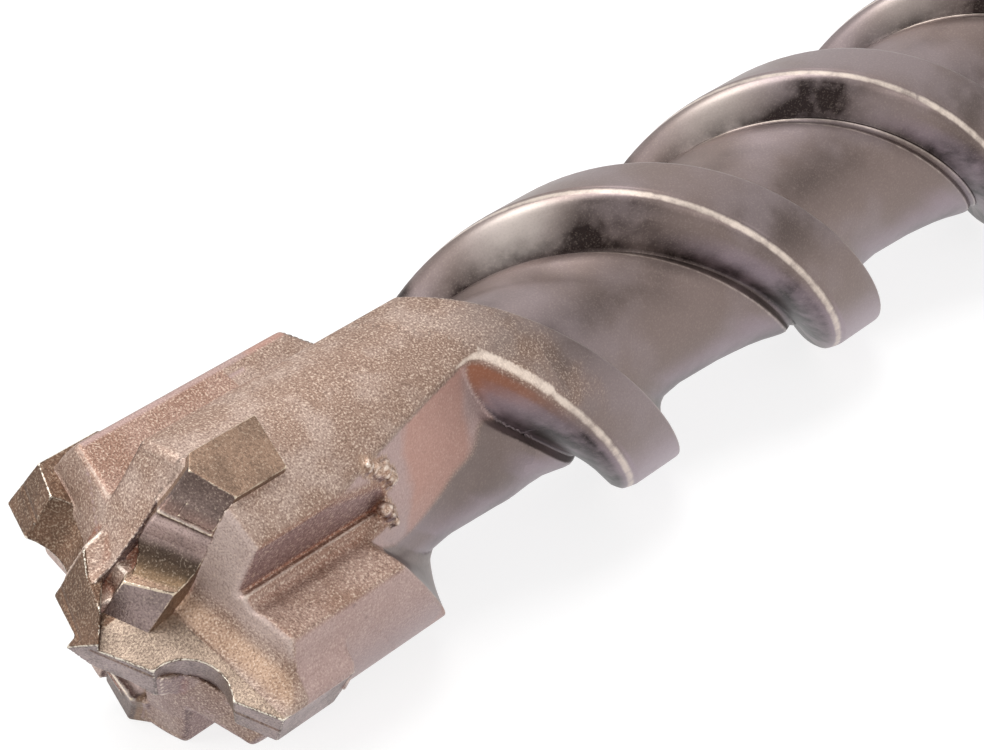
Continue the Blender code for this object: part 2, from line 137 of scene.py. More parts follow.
@dataclass
class Flute:
    """Two-start flute with its lands, and the tapering flat that ends it at the head."""

    land_radius: float = 7.5
    lead: float = 35.9
    land_width: float = 3.6
    crest_start: float = 29.5
    first_turn: float = -100.0
    rear_station: float = 152.0
    rear_fade: float = 150.0
    rear_radius: float = 8.0
    core_radius: float = 4.65
    runout_angle: float = -28.6
    runout_station: float = 10.5
    runout_distance: float = 6.0
    runout_taper: float = 8.1
    runout_bend: float = 40.0
    runout_end: float = 30.0
    runout_turns: tuple[float, float] = (-150.0, 120.0)
    crest_round: float = 0.10
    foot_round: float = 0.5
    bend_round: float = 1.2
    table_step: float = 0.05
    slope_share: float = 0.8
    ridge_rise: tuple[float, float] = (-8.0, -4.0)
    ridge_fall: tuple[float, float] = (-2.1, -1.8)
    ridge_turns: tuple[float, ...] = (20.0, 110.0, 204.0)
    ridge_drops: tuple[float, ...] = (0.46, 0.28, 0.0)
    ridge_line: float = -2.75
    valley_line: float = -1.95
    valley_fill: float = 0.35
    valley_turns: tuple[float, float] = (120.0, 200.0)
    flank_start: tuple[float, float] = (-1.95, -1.75)
    # Bands by angle round the bar where shade and dark reflections are painted on the floor, the land
    # and the flank.
    floor_shade_bands: tuple[tuple[float, float, float], ...] = (
        (0.38, -76.0, 15.0), (0.60, 14.0, 14.0), (0.25, -118.0, 9.0))
    land_shade_bands: tuple[tuple[float, float, float], ...] = ((0.45, -62.0, 16.0),)
    flank_shade_bands: tuple[tuple[float, float, float], ...] = ((1.2, -106.0, 12.0),)
    flank_shade_rise: tuple[float, float] = (-72.0, -25.0)
    glint: tuple[tuple[float, float, float], ...] = ((1.0, -140.0, 16.0),)
    line_width: float = 0.016
    head_line_width: float = 0.056
    head_rear: float = 24.0
    offsets: np.ndarray = field(init=False)
    radii: np.ndarray = field(init=False)
    slopes: np.ndarray = field(init=False)

    def __post_init__(self) -> None:
        """Draw the section of the floor once, as a fine table."""
        back = self.land_width - self.pitch
        land = self.land_radius
        drawn = [
            (-self.pitch, land), (-self.pitch + 1.0, 8.9), (back - 1.1, 8.7), (back - 0.5, 7.78),
            (back, land), (back + 0.12, 7.15), (back + 0.32, 6.1), (back + 0.6, 5.2),
            (back + 1.2, 4.70), (back + 2.8, 4.54), (-8.0, 4.66), (-5.2, 4.95), (-3.3, 5.34),
            (-2.75, 5.38), (-2.3, 5.16), (-1.85, 4.96), (-1.68, 5.5), (-1.5, 6.25),
            (-1.2, 6.93), (-0.75, 7.33), (0.0, land), (1.0, 8.4)]
        station = np.arange(-self.pitch - 1.0, 1.0, self.table_step)
        radius = np.interp(station, [p[0] for p in drawn], [p[1] for p in drawn])
        radius[station < -self.pitch] = land
        window = np.hanning(7)
        soft = np.convolve(radius, window / window.sum(), mode="same")
        keep = (station > -self.pitch + 1.5) & (station < -0.6)
        self.offsets = station
        self.radii = np.where(keep, soft, radius)
        self.slopes = np.gradient(self.radii, self.table_step)

    @property
    def pitch(self) -> float:
        """Distance along the axis from one crest to the next."""
        return self.lead / 2

    @property
    def per_degree(self) -> float:
        """Advance of a crest for each degree of turn."""
        return self.lead / 360.0

    def locate(self, points: np.ndarray) -> tuple[np.ndarray, np.ndarray, np.ndarray]:
        """Find where points lie on the helix.

        Args:
            points: Array of (station, across, up) rows.

        Returns:
            Offset ahead of the next crest, unwrapped turn of that crest, and half turns.
        """
        angle = np.degrees(np.arctan2(points[:, 2], points[:, 1]))
        base = points[:, 0] - self.crest_start - self.per_degree * angle
        count = np.floor(base / self.pitch) + 1
        return base - count * self.pitch, angle + 180.0 * count, count

    def runout(self, points: np.ndarray, turn: np.ndarray, count: np.ndarray) -> np.ndarray:
        """Distance to the steel that the flute leaves behind the head.

        Args:
            points: Array of (station, across, up) rows.
            turn: Unwrapped turn of the next crest at each point.
            count: Half turns at each point.

        Returns:
            The distance, or far away beyond the run-out's turns.
        """
        flip = np.where(count % 2 == 0, 1.0, -1.0)
        across, up = points[:, 1] * flip, points[:, 2] * flip
        taper = math.tan(math.radians(self.runout_taper))
        past = points[:, 0] - self.runout_station
        cos, sin = unit(self.runout_angle)
        flat = across * cos + up * sin + past * taper - self.runout_distance
        fall = math.cos(math.radians(self.runout_bend))
        cos, sin = unit(self.runout_angle + self.runout_bend)
        bend = across * cos + up * sin + (past * taper - self.runout_distance) * fall
        cos, sin = unit(self.runout_end + 90.0)
        end = across * cos + up * sin
        solid = np.maximum(smooth_max(flat, bend, self.bend_round), end)
        first, last = self.runout_turns
        return np.where((turn > first) & (turn < last), solid, FAR)

    def level(self, offset: np.ndarray, turn: np.ndarray) -> np.ndarray:
        """Radius of the floor, whose small second ridge grows along the first turns.

        Args:
            offset: Place along the bar from the next crest.
            turn: Unwrapped turn of that crest.

        Returns:
            Radii.
        """
        ridge = rise(offset, *self.ridge_rise) * (1.0 - rise(offset, *self.ridge_fall))
        level = np.interp(offset, self.offsets, self.radii)
        level = level - ridge * np.interp(turn, self.ridge_turns, self.ridge_drops)
        filled = self.valley_fill * rise(turn, *self.valley_turns)
        return level + filled * bell(offset, self.valley_line, 0.25)

    def core(self, points: np.ndarray) -> np.ndarray:
        """Distance to the floor, the flanks and the run-out, without the lands' limit.

        Args:
            points: Array of (station, across, up) rows.

        Returns:
            Distances, below zero in the steel.
        """
        radius = np.hypot(points[:, 1], points[:, 2])
        offset, turn, count = self.locate(points)
        slope = np.interp(offset, self.offsets, self.slopes)
        core = (radius - self.level(offset, turn)) / np.sqrt(1.0 + (slope / self.slope_share) ** 2)
        last = (self.rear_station - self.crest_start) / self.per_degree
        climbed = np.clip((turn - last + self.rear_fade) / self.rear_fade, 0.0, 1.0)
        rear = self.core_radius + (self.rear_radius - self.core_radius) * np.sin(climbed * math.pi / 2)
        core = np.where(climbed > 0, smooth_min(core, radius - rear, self.foot_round), core)
        core = np.where(turn < self.first_turn, -FAR, core)
        return smooth_min(core, self.runout(points, turn, count), self.foot_round)

    def distance(self, points: np.ndarray) -> np.ndarray:
        """Distance to the fluted bar."""
        radius = np.hypot(points[:, 1], points[:, 2])
        return smooth_max(radius - self.land_radius, self.core(points), self.crest_round)

    def lines(self, points: np.ndarray) -> np.ndarray:
        """Painted highlight lines, partly edge wear: the lands' leading edges and the small second
        ridge.

        Args:
            points: Points on the surface.

        Returns:
            Values from 0 to 1.
        """
        station = points[:, 0]
        offset, turn, _ = self.locate(points)
        radius = np.hypot(points[:, 1], points[:, 2])
        leading = (offset > -3.2) | (offset < 1.0 - self.pitch)
        width = np.where(station < self.head_rear, self.head_line_width, self.line_width)
        # Painted highlight along the lands' leading edges.
        crest = bell(self.core(points), 0.0, width) * rise(radius, 7.3, 7.42) * leading
        crest = crest * rise(turn, -88.0, -82.0) * rise(station, 19.0, 20.0)
        # Painted highlight along the small second ridge.
        second = 0.75 * bell(offset, self.ridge_line, 0.22) * rise(turn, 20.0, 90.0)
        skin = rise(0.2 - np.abs(self.distance(points)), 0.0, 0.1)
        return (crest + second) * skin

    def tones(self, points: np.ndarray, normals: np.ndarray) -> dict[str, np.ndarray]:
        """Where the bar is painted dark for shade and dark reflections, where a glint is painted, and
        where it is smooth, coppery or bare.

        Args:
            points: Points on the surface.
            normals: Their surface directions; not used.

        Returns:
            Values from 0 to 1 by attribute name.
        """
        offset, turn, count = self.locate(points)
        radius = np.hypot(points[:, 1], points[:, 2])
        angle = np.degrees(np.arctan2(points[:, 2], points[:, 1]))
        low = rise(7.42 - radius, 0.0, 0.25)
        flank = rise(offset, *self.flank_start) * low
        # Painted shade in the crease at the foot of the flank.
        valley_shade = 0.7 * bell(offset, -1.86, 0.3)
        # Painted shade and dark reflections in bands by angle.
        floor = low * (1.0 - flank) * swells(angle, self.floor_shade_bands)
        land = (1.0 - low) * swells(angle, self.land_shade_bands)
        flank_shade = 0.10 + 0.80 * rise(angle, *self.flank_shade_rise) + swells(angle, self.flank_shade_bands)
        smooth = rise(0.12 - np.abs(self.runout(points, turn, count)), 0.0, 0.10)
        smooth = smooth * rise(7.35 - radius, 0.0, 0.1)
        first = (turn > self.first_turn) & (turn < 60.0)
        copper = flank * first * rise(-turn, 30.0, 75.0)
        # pale: a painted glint on the flanks.
        pale = flank * swells(angle, self.glint) * rise(turn, -20.0, 60.0)
        skin = rise(0.2 - np.abs(self.distance(points)), 0.0, 0.1)
        shade = np.clip(floor + land + flank * flank_shade + valley_shade, 0.0, 1.0)
        return {
            "shade": shade * (1.0 - smooth) * (1.0 - 0.4 * copper),
            "smooth": smooth,
            "pale": pale * (1.0 - 0.6 * rise(turn, 150.0, 260.0)),
            "copper": copper,
            "bare": low * skin * (points[:, 0] > 13.0) * (1.0 - smooth),
            "crest": self.lines(points)}


@dataclass
class Shank:
    """Neck and slotted quick-fit shank."""

    length: float = 210.0
    neck_front: float = 156.0
    neck_rear: float = 163.0
    neck_radius: float = 6.4
    bar_radius: float = 7.5
    radius: float = 5.0
    shank_length: float = 43.0
    chamfer: float = 0.9
    slot_width: float = 2.8
    slot_depth: float = 1.6
    slot_length: float = 31.0
    ball_radius: float = 2.6
    ball_depth: float = 1.7
    ball_start: float = 9.0
    ball_length: float = 19.0
    neck_fall: float = 1.1
    rear_round: float = 0.15
    slot_round: float = 0.3
    scale: float = 0.15

    def turned(self, points: np.ndarray) -> np.ndarray:
        """Distance to the turned outline of the bar, the neck and the shank.

        Args:
            points: Array of (station, across, up) rows.

        Returns:
            Distances, below zero in the steel.
        """
        station = points[:, 0]
        away = np.hypot(points[:, 1], points[:, 2])
        front = self.length - self.shank_length
        outline = np.interp(
            station,
            [self.neck_front, self.neck_front + self.neck_fall, self.neck_rear, front - 0.6, front,
             self.length - self.chamfer, self.length + 1.0],
            [self.bar_radius, self.neck_radius, self.neck_radius, self.radius + 0.25, self.radius,
             self.radius, self.radius - self.chamfer - 1.0])
        return smooth_max((away - outline) * 0.9, station - self.length, self.rear_round)

    def tones(self, points: np.ndarray, normals: np.ndarray) -> dict[str, np.ndarray]:
        """The shank is even, under a thin dark scale."""
        return {"shade": np.full(len(points), self.scale)}

    def distance(self, points: np.ndarray) -> np.ndarray:
        """Distance to the shank with its two drive slots and two ball grooves.

        Args:
            points: Array of (station, across, up) rows.

        Returns:
            Distances, below zero in the steel.
        """
        station, across, up = points[:, 0], points[:, 1], points[:, 2]
        floor = self.radius - self.slot_depth
        front = self.length - self.slot_length
        wall = np.abs(across) - self.slot_width / 2
        slot = smooth_max(wall, floor - np.abs(up), self.slot_round)
        slot = smooth_max(slot, (front - station) * 0.6 + (floor - np.abs(up)) * 0.5, 0.4)
        centre = self.radius - self.ball_depth + self.ball_radius
        middle = self.length - self.ball_start - self.ball_length / 2
        half = self.ball_length / 2 - self.ball_radius
        along = np.maximum(np.abs(station - middle) - half, 0.0)
        ball = np.sqrt(along ** 2 + (np.abs(across) - centre) ** 2 + up ** 2) - self.ball_radius
        body = smooth_max(self.turned(points), -slot, 0.2)
        return smooth_max(body, -ball, 0.25)


@dataclass
class MainPlate:
    """Carbide plate that crosses the whole head, with its ground roof and notches."""

    half_thickness: float = 1.25
    braze_edge: float = 1.58
    braze_flare: float = 0.36
    braze_reach: float = 3.35
    reach: float = 8.27
    trailing_reach: float = 7.93
    rear: float = 8.2
    roof_slope: float = 0.49
    flank_slope: float = 0.416
    wall_slope: float = 0.278
    wall_place: float = 0.123
    wall_turn: float = 0.0156
    inner_normal: tuple[float, float, float] = (0.678, 0.709, -0.195)
    inner_place: float = 0.716
    notch_across: float = 4.85
    notch_station: float = 1.27
    notch_depth: float = 0.77
    notch_radius: float = 1.91
    grind_step: float = 0.045
    edge_round: float = 0.07

    def wall(self, turned: np.ndarray) -> np.ndarray:
        """Distance in front of the ground wall ahead of a cutting edge.

        Args:
            turned: Rows turned so that the wall's side has a negative third value.

        Returns:
            Distance, below zero behind the wall.
        """
        ahead = -turned[:, 2] - self.wall_place - self.wall_slope * turned[:, 0]
        return (ahead - self.wall_turn * turned[:, 1]) * 0.963

    def braze_line(self, across: np.ndarray) -> np.ndarray:
        """Depth of the braze's edge beside the plate, which flares outwards."""
        return self.braze_edge + self.braze_flare * np.clip(across - 1.9, 0.0, 1.1)

    def inner(self, turned: np.ndarray) -> np.ndarray:
        """Distance beyond the inner limit of the gash, near the middle of the bit."""
        return turned @ np.array(self.inner_normal) - self.inner_place

    def roof(self, points: np.ndarray) -> np.ndarray:
        """Distance ahead of the two ground flanks.

        Args:
            points: Array of (station, across, up) rows.

        Returns:
            Distances, below zero in the plate.
        """
        lean = self.roof_slope * points[:, 1] + self.flank_slope * points[:, 2]
        first = (lean - points[:, 0]) * 0.84
        second = (-lean - points[:, 0]) * 0.84
        return smooth_max(first, second, 0.05)

    def crease(self, points: np.ndarray) -> np.ndarray:
        """Faint step where the second grinding pass meets the first.

        Args:
            points: Array of (station, across, up) rows.

        Returns:
            Height of the step.
        """
        away = points[:, 2] * np.where(points[:, 1] > 0, -1.0, 1.0)
        turned = half_turned(points)
        return self.grind_step * bell(away, 0.02, 0.09) * (np.abs(turned[:, 1]) > 0.3)

    def notch(self, points: np.ndarray) -> np.ndarray:
        """Distance to the round notches, which lean with the flanks.

        Args:
            points: Array of (station, across, up) rows.

        Returns:
            Distances, below zero in a notch.
        """
        lean = np.where(points[:, 1] > 0, points[:, 2], -points[:, 2])
        middle = self.notch_station + self.flank_slope * (lean + self.notch_depth)
        away = np.hypot(np.abs(points[:, 1]) - self.notch_across, (points[:, 0] - middle) * 0.95)
        return away - self.notch_radius

    def tones(self, points: np.ndarray, normals: np.ndarray) -> dict[str, np.ndarray]:
        """Where the plate shows its ground flanks.

        Args:
            points: Points on the surface.
            normals: Their surface directions.

        Returns:
            Values from 0 to 1 by attribute name.
        """
        turned = half_turned(points)
        flip = np.where(points[:, 2] > 0, -1.0, 1.0)
        walled = rise(0.12 - np.abs(self.wall(turned)), 0.0, 0.08) * (turned[:, 1] > 0.0)
        facing = rise(-normals[:, 2] * flip, 0.5, 0.8)
        return {"flank": 1.0 - walled * facing}

    def distance(self, points: np.ndarray) -> np.ndarray:
        """Distance to the plate, with the braze that is ground flush with it near the middle.

        Args:
            points: Array of (station, across, up) rows.

        Returns:
            Distances, below zero in the plate.
        """
        station, across, up = points[:, 0], points[:, 1], points[:, 2]
        turned = half_turned(points)
        near = np.clip((self.braze_reach - np.abs(across)) / 0.35, 0.0, 1.0) * (turned[:, 1] < 0.2)
        proud = self.braze_line(np.abs(across)) - self.half_thickness
        face = np.abs(up) - self.half_thickness - proud * near
        fall = (self.reach - self.trailing_reach) / (2 * self.half_thickness)
        lean = np.where(across > 0, up, -up) + self.half_thickness
        side = np.abs(across) - self.reach + fall * lean
        body = smooth_max(face, side, self.edge_round)
        body = smooth_max(body, station - self.rear, 0.3)
        body = smooth_max(body, self.roof(points) + self.crease(points), self.edge_round)
        gash = smooth_min(self.wall(turned), self.inner(turned), 0.05)
        body = smooth_max(body, gash, self.edge_round)
        return smooth_max(body, -self.notch(points), 0.10)


def half_turned(points: np.ndarray) -> np.ndarray:
    """Turn the points of the upper half by 180 degrees about the axis, onto the lower half."""
    flip = np.where(points[:, 2] > 0, -1.0, 1.0)
    return np.stack([points[:, 0], points[:, 1] * flip, points[:, 2] * flip], axis=1)


@dataclass
class SidePlate:
    """Stepped and relieved carbide plate that is set into a narrow wing."""

    half_thickness: float = 1.45
    reach: float = 7.75
    rear_left: float = 9.2
    rear_right: float = 8.25
    neck: float = 2.78
    edge_round: float = 0.07
    heel: tuple[tuple[float, float], ...] = (
        (2.78, 3.34), (2.88, 3.52), (3.1, 3.85), (3.5, 4.2), (4.37, 4.47), (5.05, 4.50),
        (5.42, 4.60),
        (5.60, 4.58), (5.74, 4.36), (5.86, 4.36), (5.98, 4.46), (6.6, 4.80), (7.75, 5.15))
    slant: tuple[tuple[float, float], ...] = (
        (2.7, 0.30), (4.5, 0.18), (6.5, 0.13), (7.75, 0.0))
    left: tuple[tuple[float, float], ...] = (
        (0.53, -0.58), (2.2, -0.60), (2.6, -0.95), (3.35, -1.38), (4.2, -1.24), (5.4, -0.97),
        (7.75, -0.74))
    relief: float = 0.30
    facet_top: tuple[float, float] = (2.73, 3.22)
    facet_slope: float = 0.47
    pad_left: float = -0.18
    pad_low: float = 6.0
    pad_high: float = 6.5
    pad_height: float = 0.13

    def place(self, across: np.ndarray, depth: np.ndarray) -> np.ndarray:
        """Place along the stepped profile, whose steps slant across the plate."""
        slant = np.interp(depth, [p[0] for p in self.slant], [p[1] for p in self.slant])
        return depth + slant * (self.half_thickness - across)

    def crown(self, across: np.ndarray, depth: np.ndarray) -> np.ndarray:
        """Station of the stepped front face.

        Args:
            across: Place across the plate; the leading side is below zero.
            depth: Distance from the bit's middle.

        Returns:
            Station at each place.
        """
        place = self.place(across, depth)
        fall = self.relief * (self.half_thickness - across)
        step = np.interp(place, [p[0] for p in self.heel], [p[1] for p in self.heel])
        top, station = self.facet_top
        facet = station - self.facet_slope * (top - depth)
        level = facet + (step - facet) * np.clip((place - top) / 0.09, 0.0, 1.0) - fall
        high = self.pad_high + 0.12 * across
        pad = np.minimum(across - self.pad_left, np.minimum(place - self.pad_low, high - depth))
        return level - self.pad_height * np.clip(pad / 0.10 + 0.5, 0.0, 1.0)

    def limit(self, depth: np.ndarray) -> np.ndarray:
        """Place across the plate at which its leading bevel starts."""
        return np.interp(depth, [p[0] for p in self.left], [p[1] for p in self.left])

    def lead(self, points: np.ndarray, depth: np.ndarray) -> np.ndarray:
        """Distance ahead of the bevel on the leading side.

        Args:
            points: Rows turned onto the lower half.
            depth: Distance from the bit's middle.

        Returns:
            Distances, below zero behind the bevel.
        """
        limit = self.limit(depth)
        steep = np.interp(depth, [2.4, 3.2], [1.7, 1.0])
        return (self.crown(limit, depth) + steep * (limit - points[:, 1]) - points[:, 0]) * 0.6

    def distance(self, points: np.ndarray) -> np.ndarray:
        """Distance to the plate, for points turned onto the lower half.

        Args:
            points: Array of (station, across, up) rows.

        Returns:
            Distances, below zero inside.
        """
        station, across, depth = points[:, 0], points[:, 1], -points[:, 2]
        body = smooth_max(np.abs(across) - self.half_thickness, depth - self.reach, self.edge_round)
        body = smooth_max(body, (self.crown(across, depth) - station) * 0.85, self.edge_round)
        body = smooth_max(body, self.lead(points, depth), self.edge_round)
        over = across + self.half_thickness
        rear = self.rear_left + (self.rear_right - self.rear_left) * over / (2 * self.half_thickness)
        return np.maximum(np.maximum(body, (station - rear) * 0.95), 0.35 - depth)

    def tones(self, turned: np.ndarray, normals: np.ndarray) -> dict[str, np.ndarray]:
        """Where the plate's face is darker, smoother or lighter than its body.

        Args:
            turned: Points on the lower half.
            normals: Their surface directions.

        Returns:
            Values by attribute name.
        """
        station, across, depth = turned[:, 0], turned[:, 1], -turned[:, 2]
        place = self.place(across, depth)
        face = np.clip(-normals[:, 0] * 3.0 - 0.6, 0.0, 1.0)
        front = np.clip((self.crown(across, depth) - station + 0.25) / 0.1, 0.0, 1.0)
        return {"band": place, "face": face * front}


@dataclass
class HeadBlock:
    """Front of the steel body: wings, grooves, gashes, turned front and pads."""

    flute: Flute
    main_plate: MainPlate
    side_plate: SidePlate
    narrow_wing: float = 3.45
    wide_wing: float = 3.75
    groove_rear: float = 13.3
    long_groove_rear: float = 22.0
    groove_round: float = 0.35
    bead_height: float = 0.24
    gash_station: float = 4.2
    gash_fillet: float = 1.7
    edge_round: float = 0.16
    braze_fillet: float = 0.28
    slit_start: tuple[float, float, float] = (2.12, 1.40, -0.78)
    slit_end: tuple[float, float, float] = (3.27, 3.75, -1.14)
    slit_width: float = 0.15
    gap_depth: float = 0.42
    gap_span: tuple[float, float] = (1.1, 7.4)
    fill_rear: float = 7.8
    slot_rear: float = 8.0
    wall_offset: float = 0.05
    plate_proud: float = 0.10
    pad_rear: float = 8.2
    pad_inner: float = 5.0
    left_shift: tuple[float, float] = (0.22, 0.33)
    outer_radius: float = 7.2
    crumbs: tuple[tuple[float, float, float, float], ...] = (
        (12.8, 3.0, -6.25, 0.40), (13.2, 3.1, -6.1, 0.46), (13.7, 3.35, -5.5, 0.40),
        (12.2, 2.85, -6.7, 0.34), (13.2, 4.0, -4.35, 0.34), (13.5, 4.15, -4.0, 0.30),
        (13.8, 4.4, -3.55, 0.22))

    def turned_front(self, turned: np.ndarray) -> np.ndarray:
        """Distance ahead of the turned front face and the braze that climbs to the main plate.

        Args:
            turned: Rows turned onto the lower half.

        Returns:
            Distances, below zero inside.
        """
        station, across, depth = turned[:, 0], turned[:, 1], -turned[:, 2]
        away = np.hypot(across, depth)
        cone = np.interp(
            away, [0.0, 1.0, 1.81, 2.33, 2.87, 3.99, 5.7, 7.03, 7.5, 8.5],
            [0.9, 1.3, 1.71, 2.28, 2.73, 3.5, 4.25, 4.7, 4.8, 5.1])
        plate = self.main_plate
        ledge = plate.braze_line(-across) - np.clip(-across - 3.0, 0.0, 0.6) * 1.2
        flank = -plate.roof_slope * across + plate.flank_slope * depth + 0.17
        braze = flank + 1.5 * np.maximum(depth - ledge, 0.0)
        braze = braze + 4.0 * np.maximum(-across - 3.1, 0.0)
        level = np.where(across < -0.6, smooth_min(cone, braze, 0.25), 2.9)
        return (level - station) * 0.8

    def pad(self, points: np.ndarray) -> np.ndarray:
        """Distance to the raised pad beside the main plate.

        Args:
            points: Array of (station, across, up) rows.

        Returns:
            Distances, below zero inside.
        """
        station, across, up = points[:, 0], points[:, 1], points[:, 2]
        slope = 0.577 * (across - 7.14) - 0.816 * (up + 2.3)
        pad = smooth_max(slope, across - self.main_plate.reach + 0.05, 0.2)
        pad = smooth_max(pad, station - self.pad_rear, 0.4)
        return np.maximum(pad, self.pad_inner - across)

    def grooves(self, points: np.ndarray) -> np.ndarray:
        """Distance to what the grooves between the wings take away.

        Args:
            points: Array of (station, across, up) rows.

        Returns:
            Distances, below zero inside.
        """
        station, across, up = points[:, 0], points[:, 1], points[:, 2]
        rear = np.where(across > 0, self.groove_rear, self.long_groove_rear)
        left = across < 0
        wider, lower = self.left_shift
        wall = np.abs(across) - self.narrow_wing - wider * left
        bead = self.bead_height * np.exp(-((wall - 0.32) / 0.22) ** 2)
        bead = bead - 0.10 * np.exp(-((wall - 0.95) / 0.32) ** 2)
        side = self.wide_wing - lower * left - np.abs(up) + bead * ~left
        groove = smooth_max(-wall, side, self.groove_round)
        return smooth_max(groove, station - rear, 0.4)

    def gap(self, turned: np.ndarray) -> np.ndarray:
        """Distance to the braze that fills the slot beside the side plate's bevel.

        Args:
            turned: Rows turned onto the lower half.

        Returns:
            Distances, below zero inside.
        """
        station, across, depth = turned[:, 0], turned[:, 1], -turned[:, 2]
        side = self.side_plate
        limit = side.limit(depth)
        level = side.crown(limit, depth) + self.gap_depth - station
        fill = np.maximum(across - limit - 0.15, -side.half_thickness - 0.1 - across)
        fill = np.maximum(np.maximum(fill, level * 0.8), station - self.fill_rear)
        inner, outer = self.gap_span
        return np.maximum(fill, np.maximum(inner - depth, depth - outer))

    def crumb(self, points: np.ndarray) -> np.ndarray:
        """Distance to the crumbs of braze left at the rear of one groove.

        Args:
            points: Array of (station, across, up) rows.

        Returns:
            Distances, below zero inside.
        """
        nearest = np.full(len(points), FAR)
        for station, across, up, size in self.crumbs:
            away = np.hypot(np.hypot(points[:, 0] - station, points[:, 1] - across), points[:, 2] - up)
            nearest = smooth_min(nearest, away - size, 0.15)
        rough = np.sin(points[:, 0] * 9.0) * np.sin(points[:, 1] * 11.0) * np.sin(points[:, 2] * 10.0)
        return nearest + 0.07 * rough

    def slit(self, turned: np.ndarray) -> np.ndarray:
        """Distance to the thin gap where the fillet stands off the ground wall.

        Args:
            turned: Rows turned onto the lower half.

        Returns:
            Distances, below zero inside.
        """
        start, end = np.array(self.slit_start), np.array(self.slit_end)
        along = end - start
        share = np.clip((turned - start) @ along / (along @ along), 0.0, 1.0)
        away = np.linalg.norm(turned - start - share[:, None] * along, axis=1)
        thick = self.slit_width * np.interp(share, [0.0, 0.25, 1.0], [0.35, 1.0, 0.15])
        return away - thick

    def floor(self, turned: np.ndarray) -> np.ndarray:
        """Distance ahead of the slanting floor of a gash."""
        return self.gash_station + 0.075 * turned[:, 1] - 0.04 * turned[:, 2] - turned[:, 0]

    def gash(self, turned: np.ndarray) -> np.ndarray:
        """Distance ahead of the ground wall, the fillet and the floor of a gash.

        Args:
            turned: Rows turned onto the lower half.

        Returns:
            Distances, below zero in the steel.
        """
        wall = self.main_plate.wall(turned) + self.wall_offset
        lead = smooth_min(wall, self.floor(turned), self.gash_fillet)
        return np.maximum(lead, 3.7 - turned[:, 0])

    def tones(self, points: np.ndarray, normals: np.ndarray) -> dict[str, np.ndarray]:
        """Where the steel is coppery, smooth, gilded or dark, and where shade and highlight lines are
        painted on it.

        Args:
            points: Points on the surface.
            normals: Their surface directions.

        Returns:
            Values from 0 to 1 by attribute name.
        """
        made = self.flute.tones(points, normals)
        turned = half_turned(points)
        station, across, up = turned[:, 0], turned[:, 1], turned[:, 2]
        wall = self.main_plate.wall(turned) + self.wall_offset
        floor, groove = self.floor(turned), self.grooves(turned)
        ahead = rise(-normals[:, 0], 0.25, 0.6) * (station < 5.2) * (across > 1.3)
        flat = rise(wall - floor, 0.9, 1.7) * ahead
        fillet = (1.0 - rise(np.abs(wall - floor), 0.25, 1.0)) * ahead
        before = station < self.groove_rear + 0.3
        slot = rise(0.25 - np.abs(across + self.side_plate.half_thickness), 0.0, 0.2)
        slot = slot * rise(np.abs(normals[:, 1]) - 0.6, 0.0, 0.2) * (station < 6.5)
        outer = (np.hypot(across, up) > self.outer_radius) & (station > 5.0) & (station < 24.0)
        outer = outer * rise(3.7 - np.abs(up), 0.0, 0.1)
        soiled = rise(0.25 - self.crumb(points), 0.0, 0.1)
        smooth = made["smooth"] * (1.0 - rise(-groove, -0.30, -0.05) * before)
        made["smooth"] = np.maximum(np.maximum(smooth, 0.55 * flat), 0.8 * outer) * (1.0 - soiled)
        # Along the edge between a groove and the turned front: a painted highlight line on one
        # stretch, a painted shade line on the other.
        rim = bell(groove, 0.0, 0.15) * (across < 0) * (station < 6.0)
        rim = rim * bell(self.turned_front(turned), 0.0, 0.15)
        made["crest"] = made["crest"] + 1.2 * rim * (np.abs(up) < np.abs(across))
        # The flat gash floors are made paler as well.
        made["pale"] = np.maximum(made["pale"], 0.30 * flat)
        made["gilt"] = np.maximum(fillet, 0.5 * soiled)
        # Groove walls turned across get deeper copper than their floors: a tint that also paints their
        # shade.
        steep = rise(np.abs(normals[:, 1]), 0.6, 0.9)
        pink = np.where((across > 0) & (station > 3.4), 0.30 + 0.55 * steep, 0.50)
        made["copper"] = np.maximum(made["copper"], pink * rise(-groove, -0.35, 0.1) * before)
        # Painted shade in the slot beside the side plate.
        shade = np.maximum(made["shade"] * made["bare"], 0.45 * slot)
        # Darker towards the rear of the head.
        shade = np.maximum(shade, 0.20 * rise(station, 14.0, 21.0))
        # Painted shade line along the other stretch of that edge.
        made["shade"] = np.maximum(shade, rim * (np.abs(up) > np.abs(across)))
        return made

    def distance(self, points: np.ndarray) -> np.ndarray:
        """Distance to the steel of the head and the bar.

        Args:
            points: Array of (station, across, up) rows.

        Returns:
            Distances, below zero inside.
        """
        turned = half_turned(points)
        station, across, up = turned[:, 0], turned[:, 1], turned[:, 2]
        body = self.flute.distance(points)
        body = smooth_min(body, self.pad(turned), 0.25)
        body = smooth_max(body, -self.grooves(turned), self.edge_round)
        body = smooth_min(body, self.crumb(points), 0.12)
        front = np.where(across > 1.0, self.gash(turned), self.turned_front(turned))
        body = smooth_max(body, front, 0.30)
        side = self.side_plate
        slot = np.maximum(np.abs(across) - side.half_thickness, up + 1.2)
        body = np.maximum(body, -np.maximum(slot, station - self.slot_rear))
        body = smooth_min(body, self.gap(turned), 0.12)
        plates = np.minimum(side.distance(turned), self.main_plate.distance(points)) + self.plate_proud
        body = smooth_min(body, plates, self.braze_fillet)
        hidden = np.maximum(np.abs(up) - 1.1, self.main_plate.wall(turned) + 0.35)
        body = np.maximum(body, -np.maximum(hidden, station - self.fill_rear))
        return np.maximum(body, -self.slit(turned))


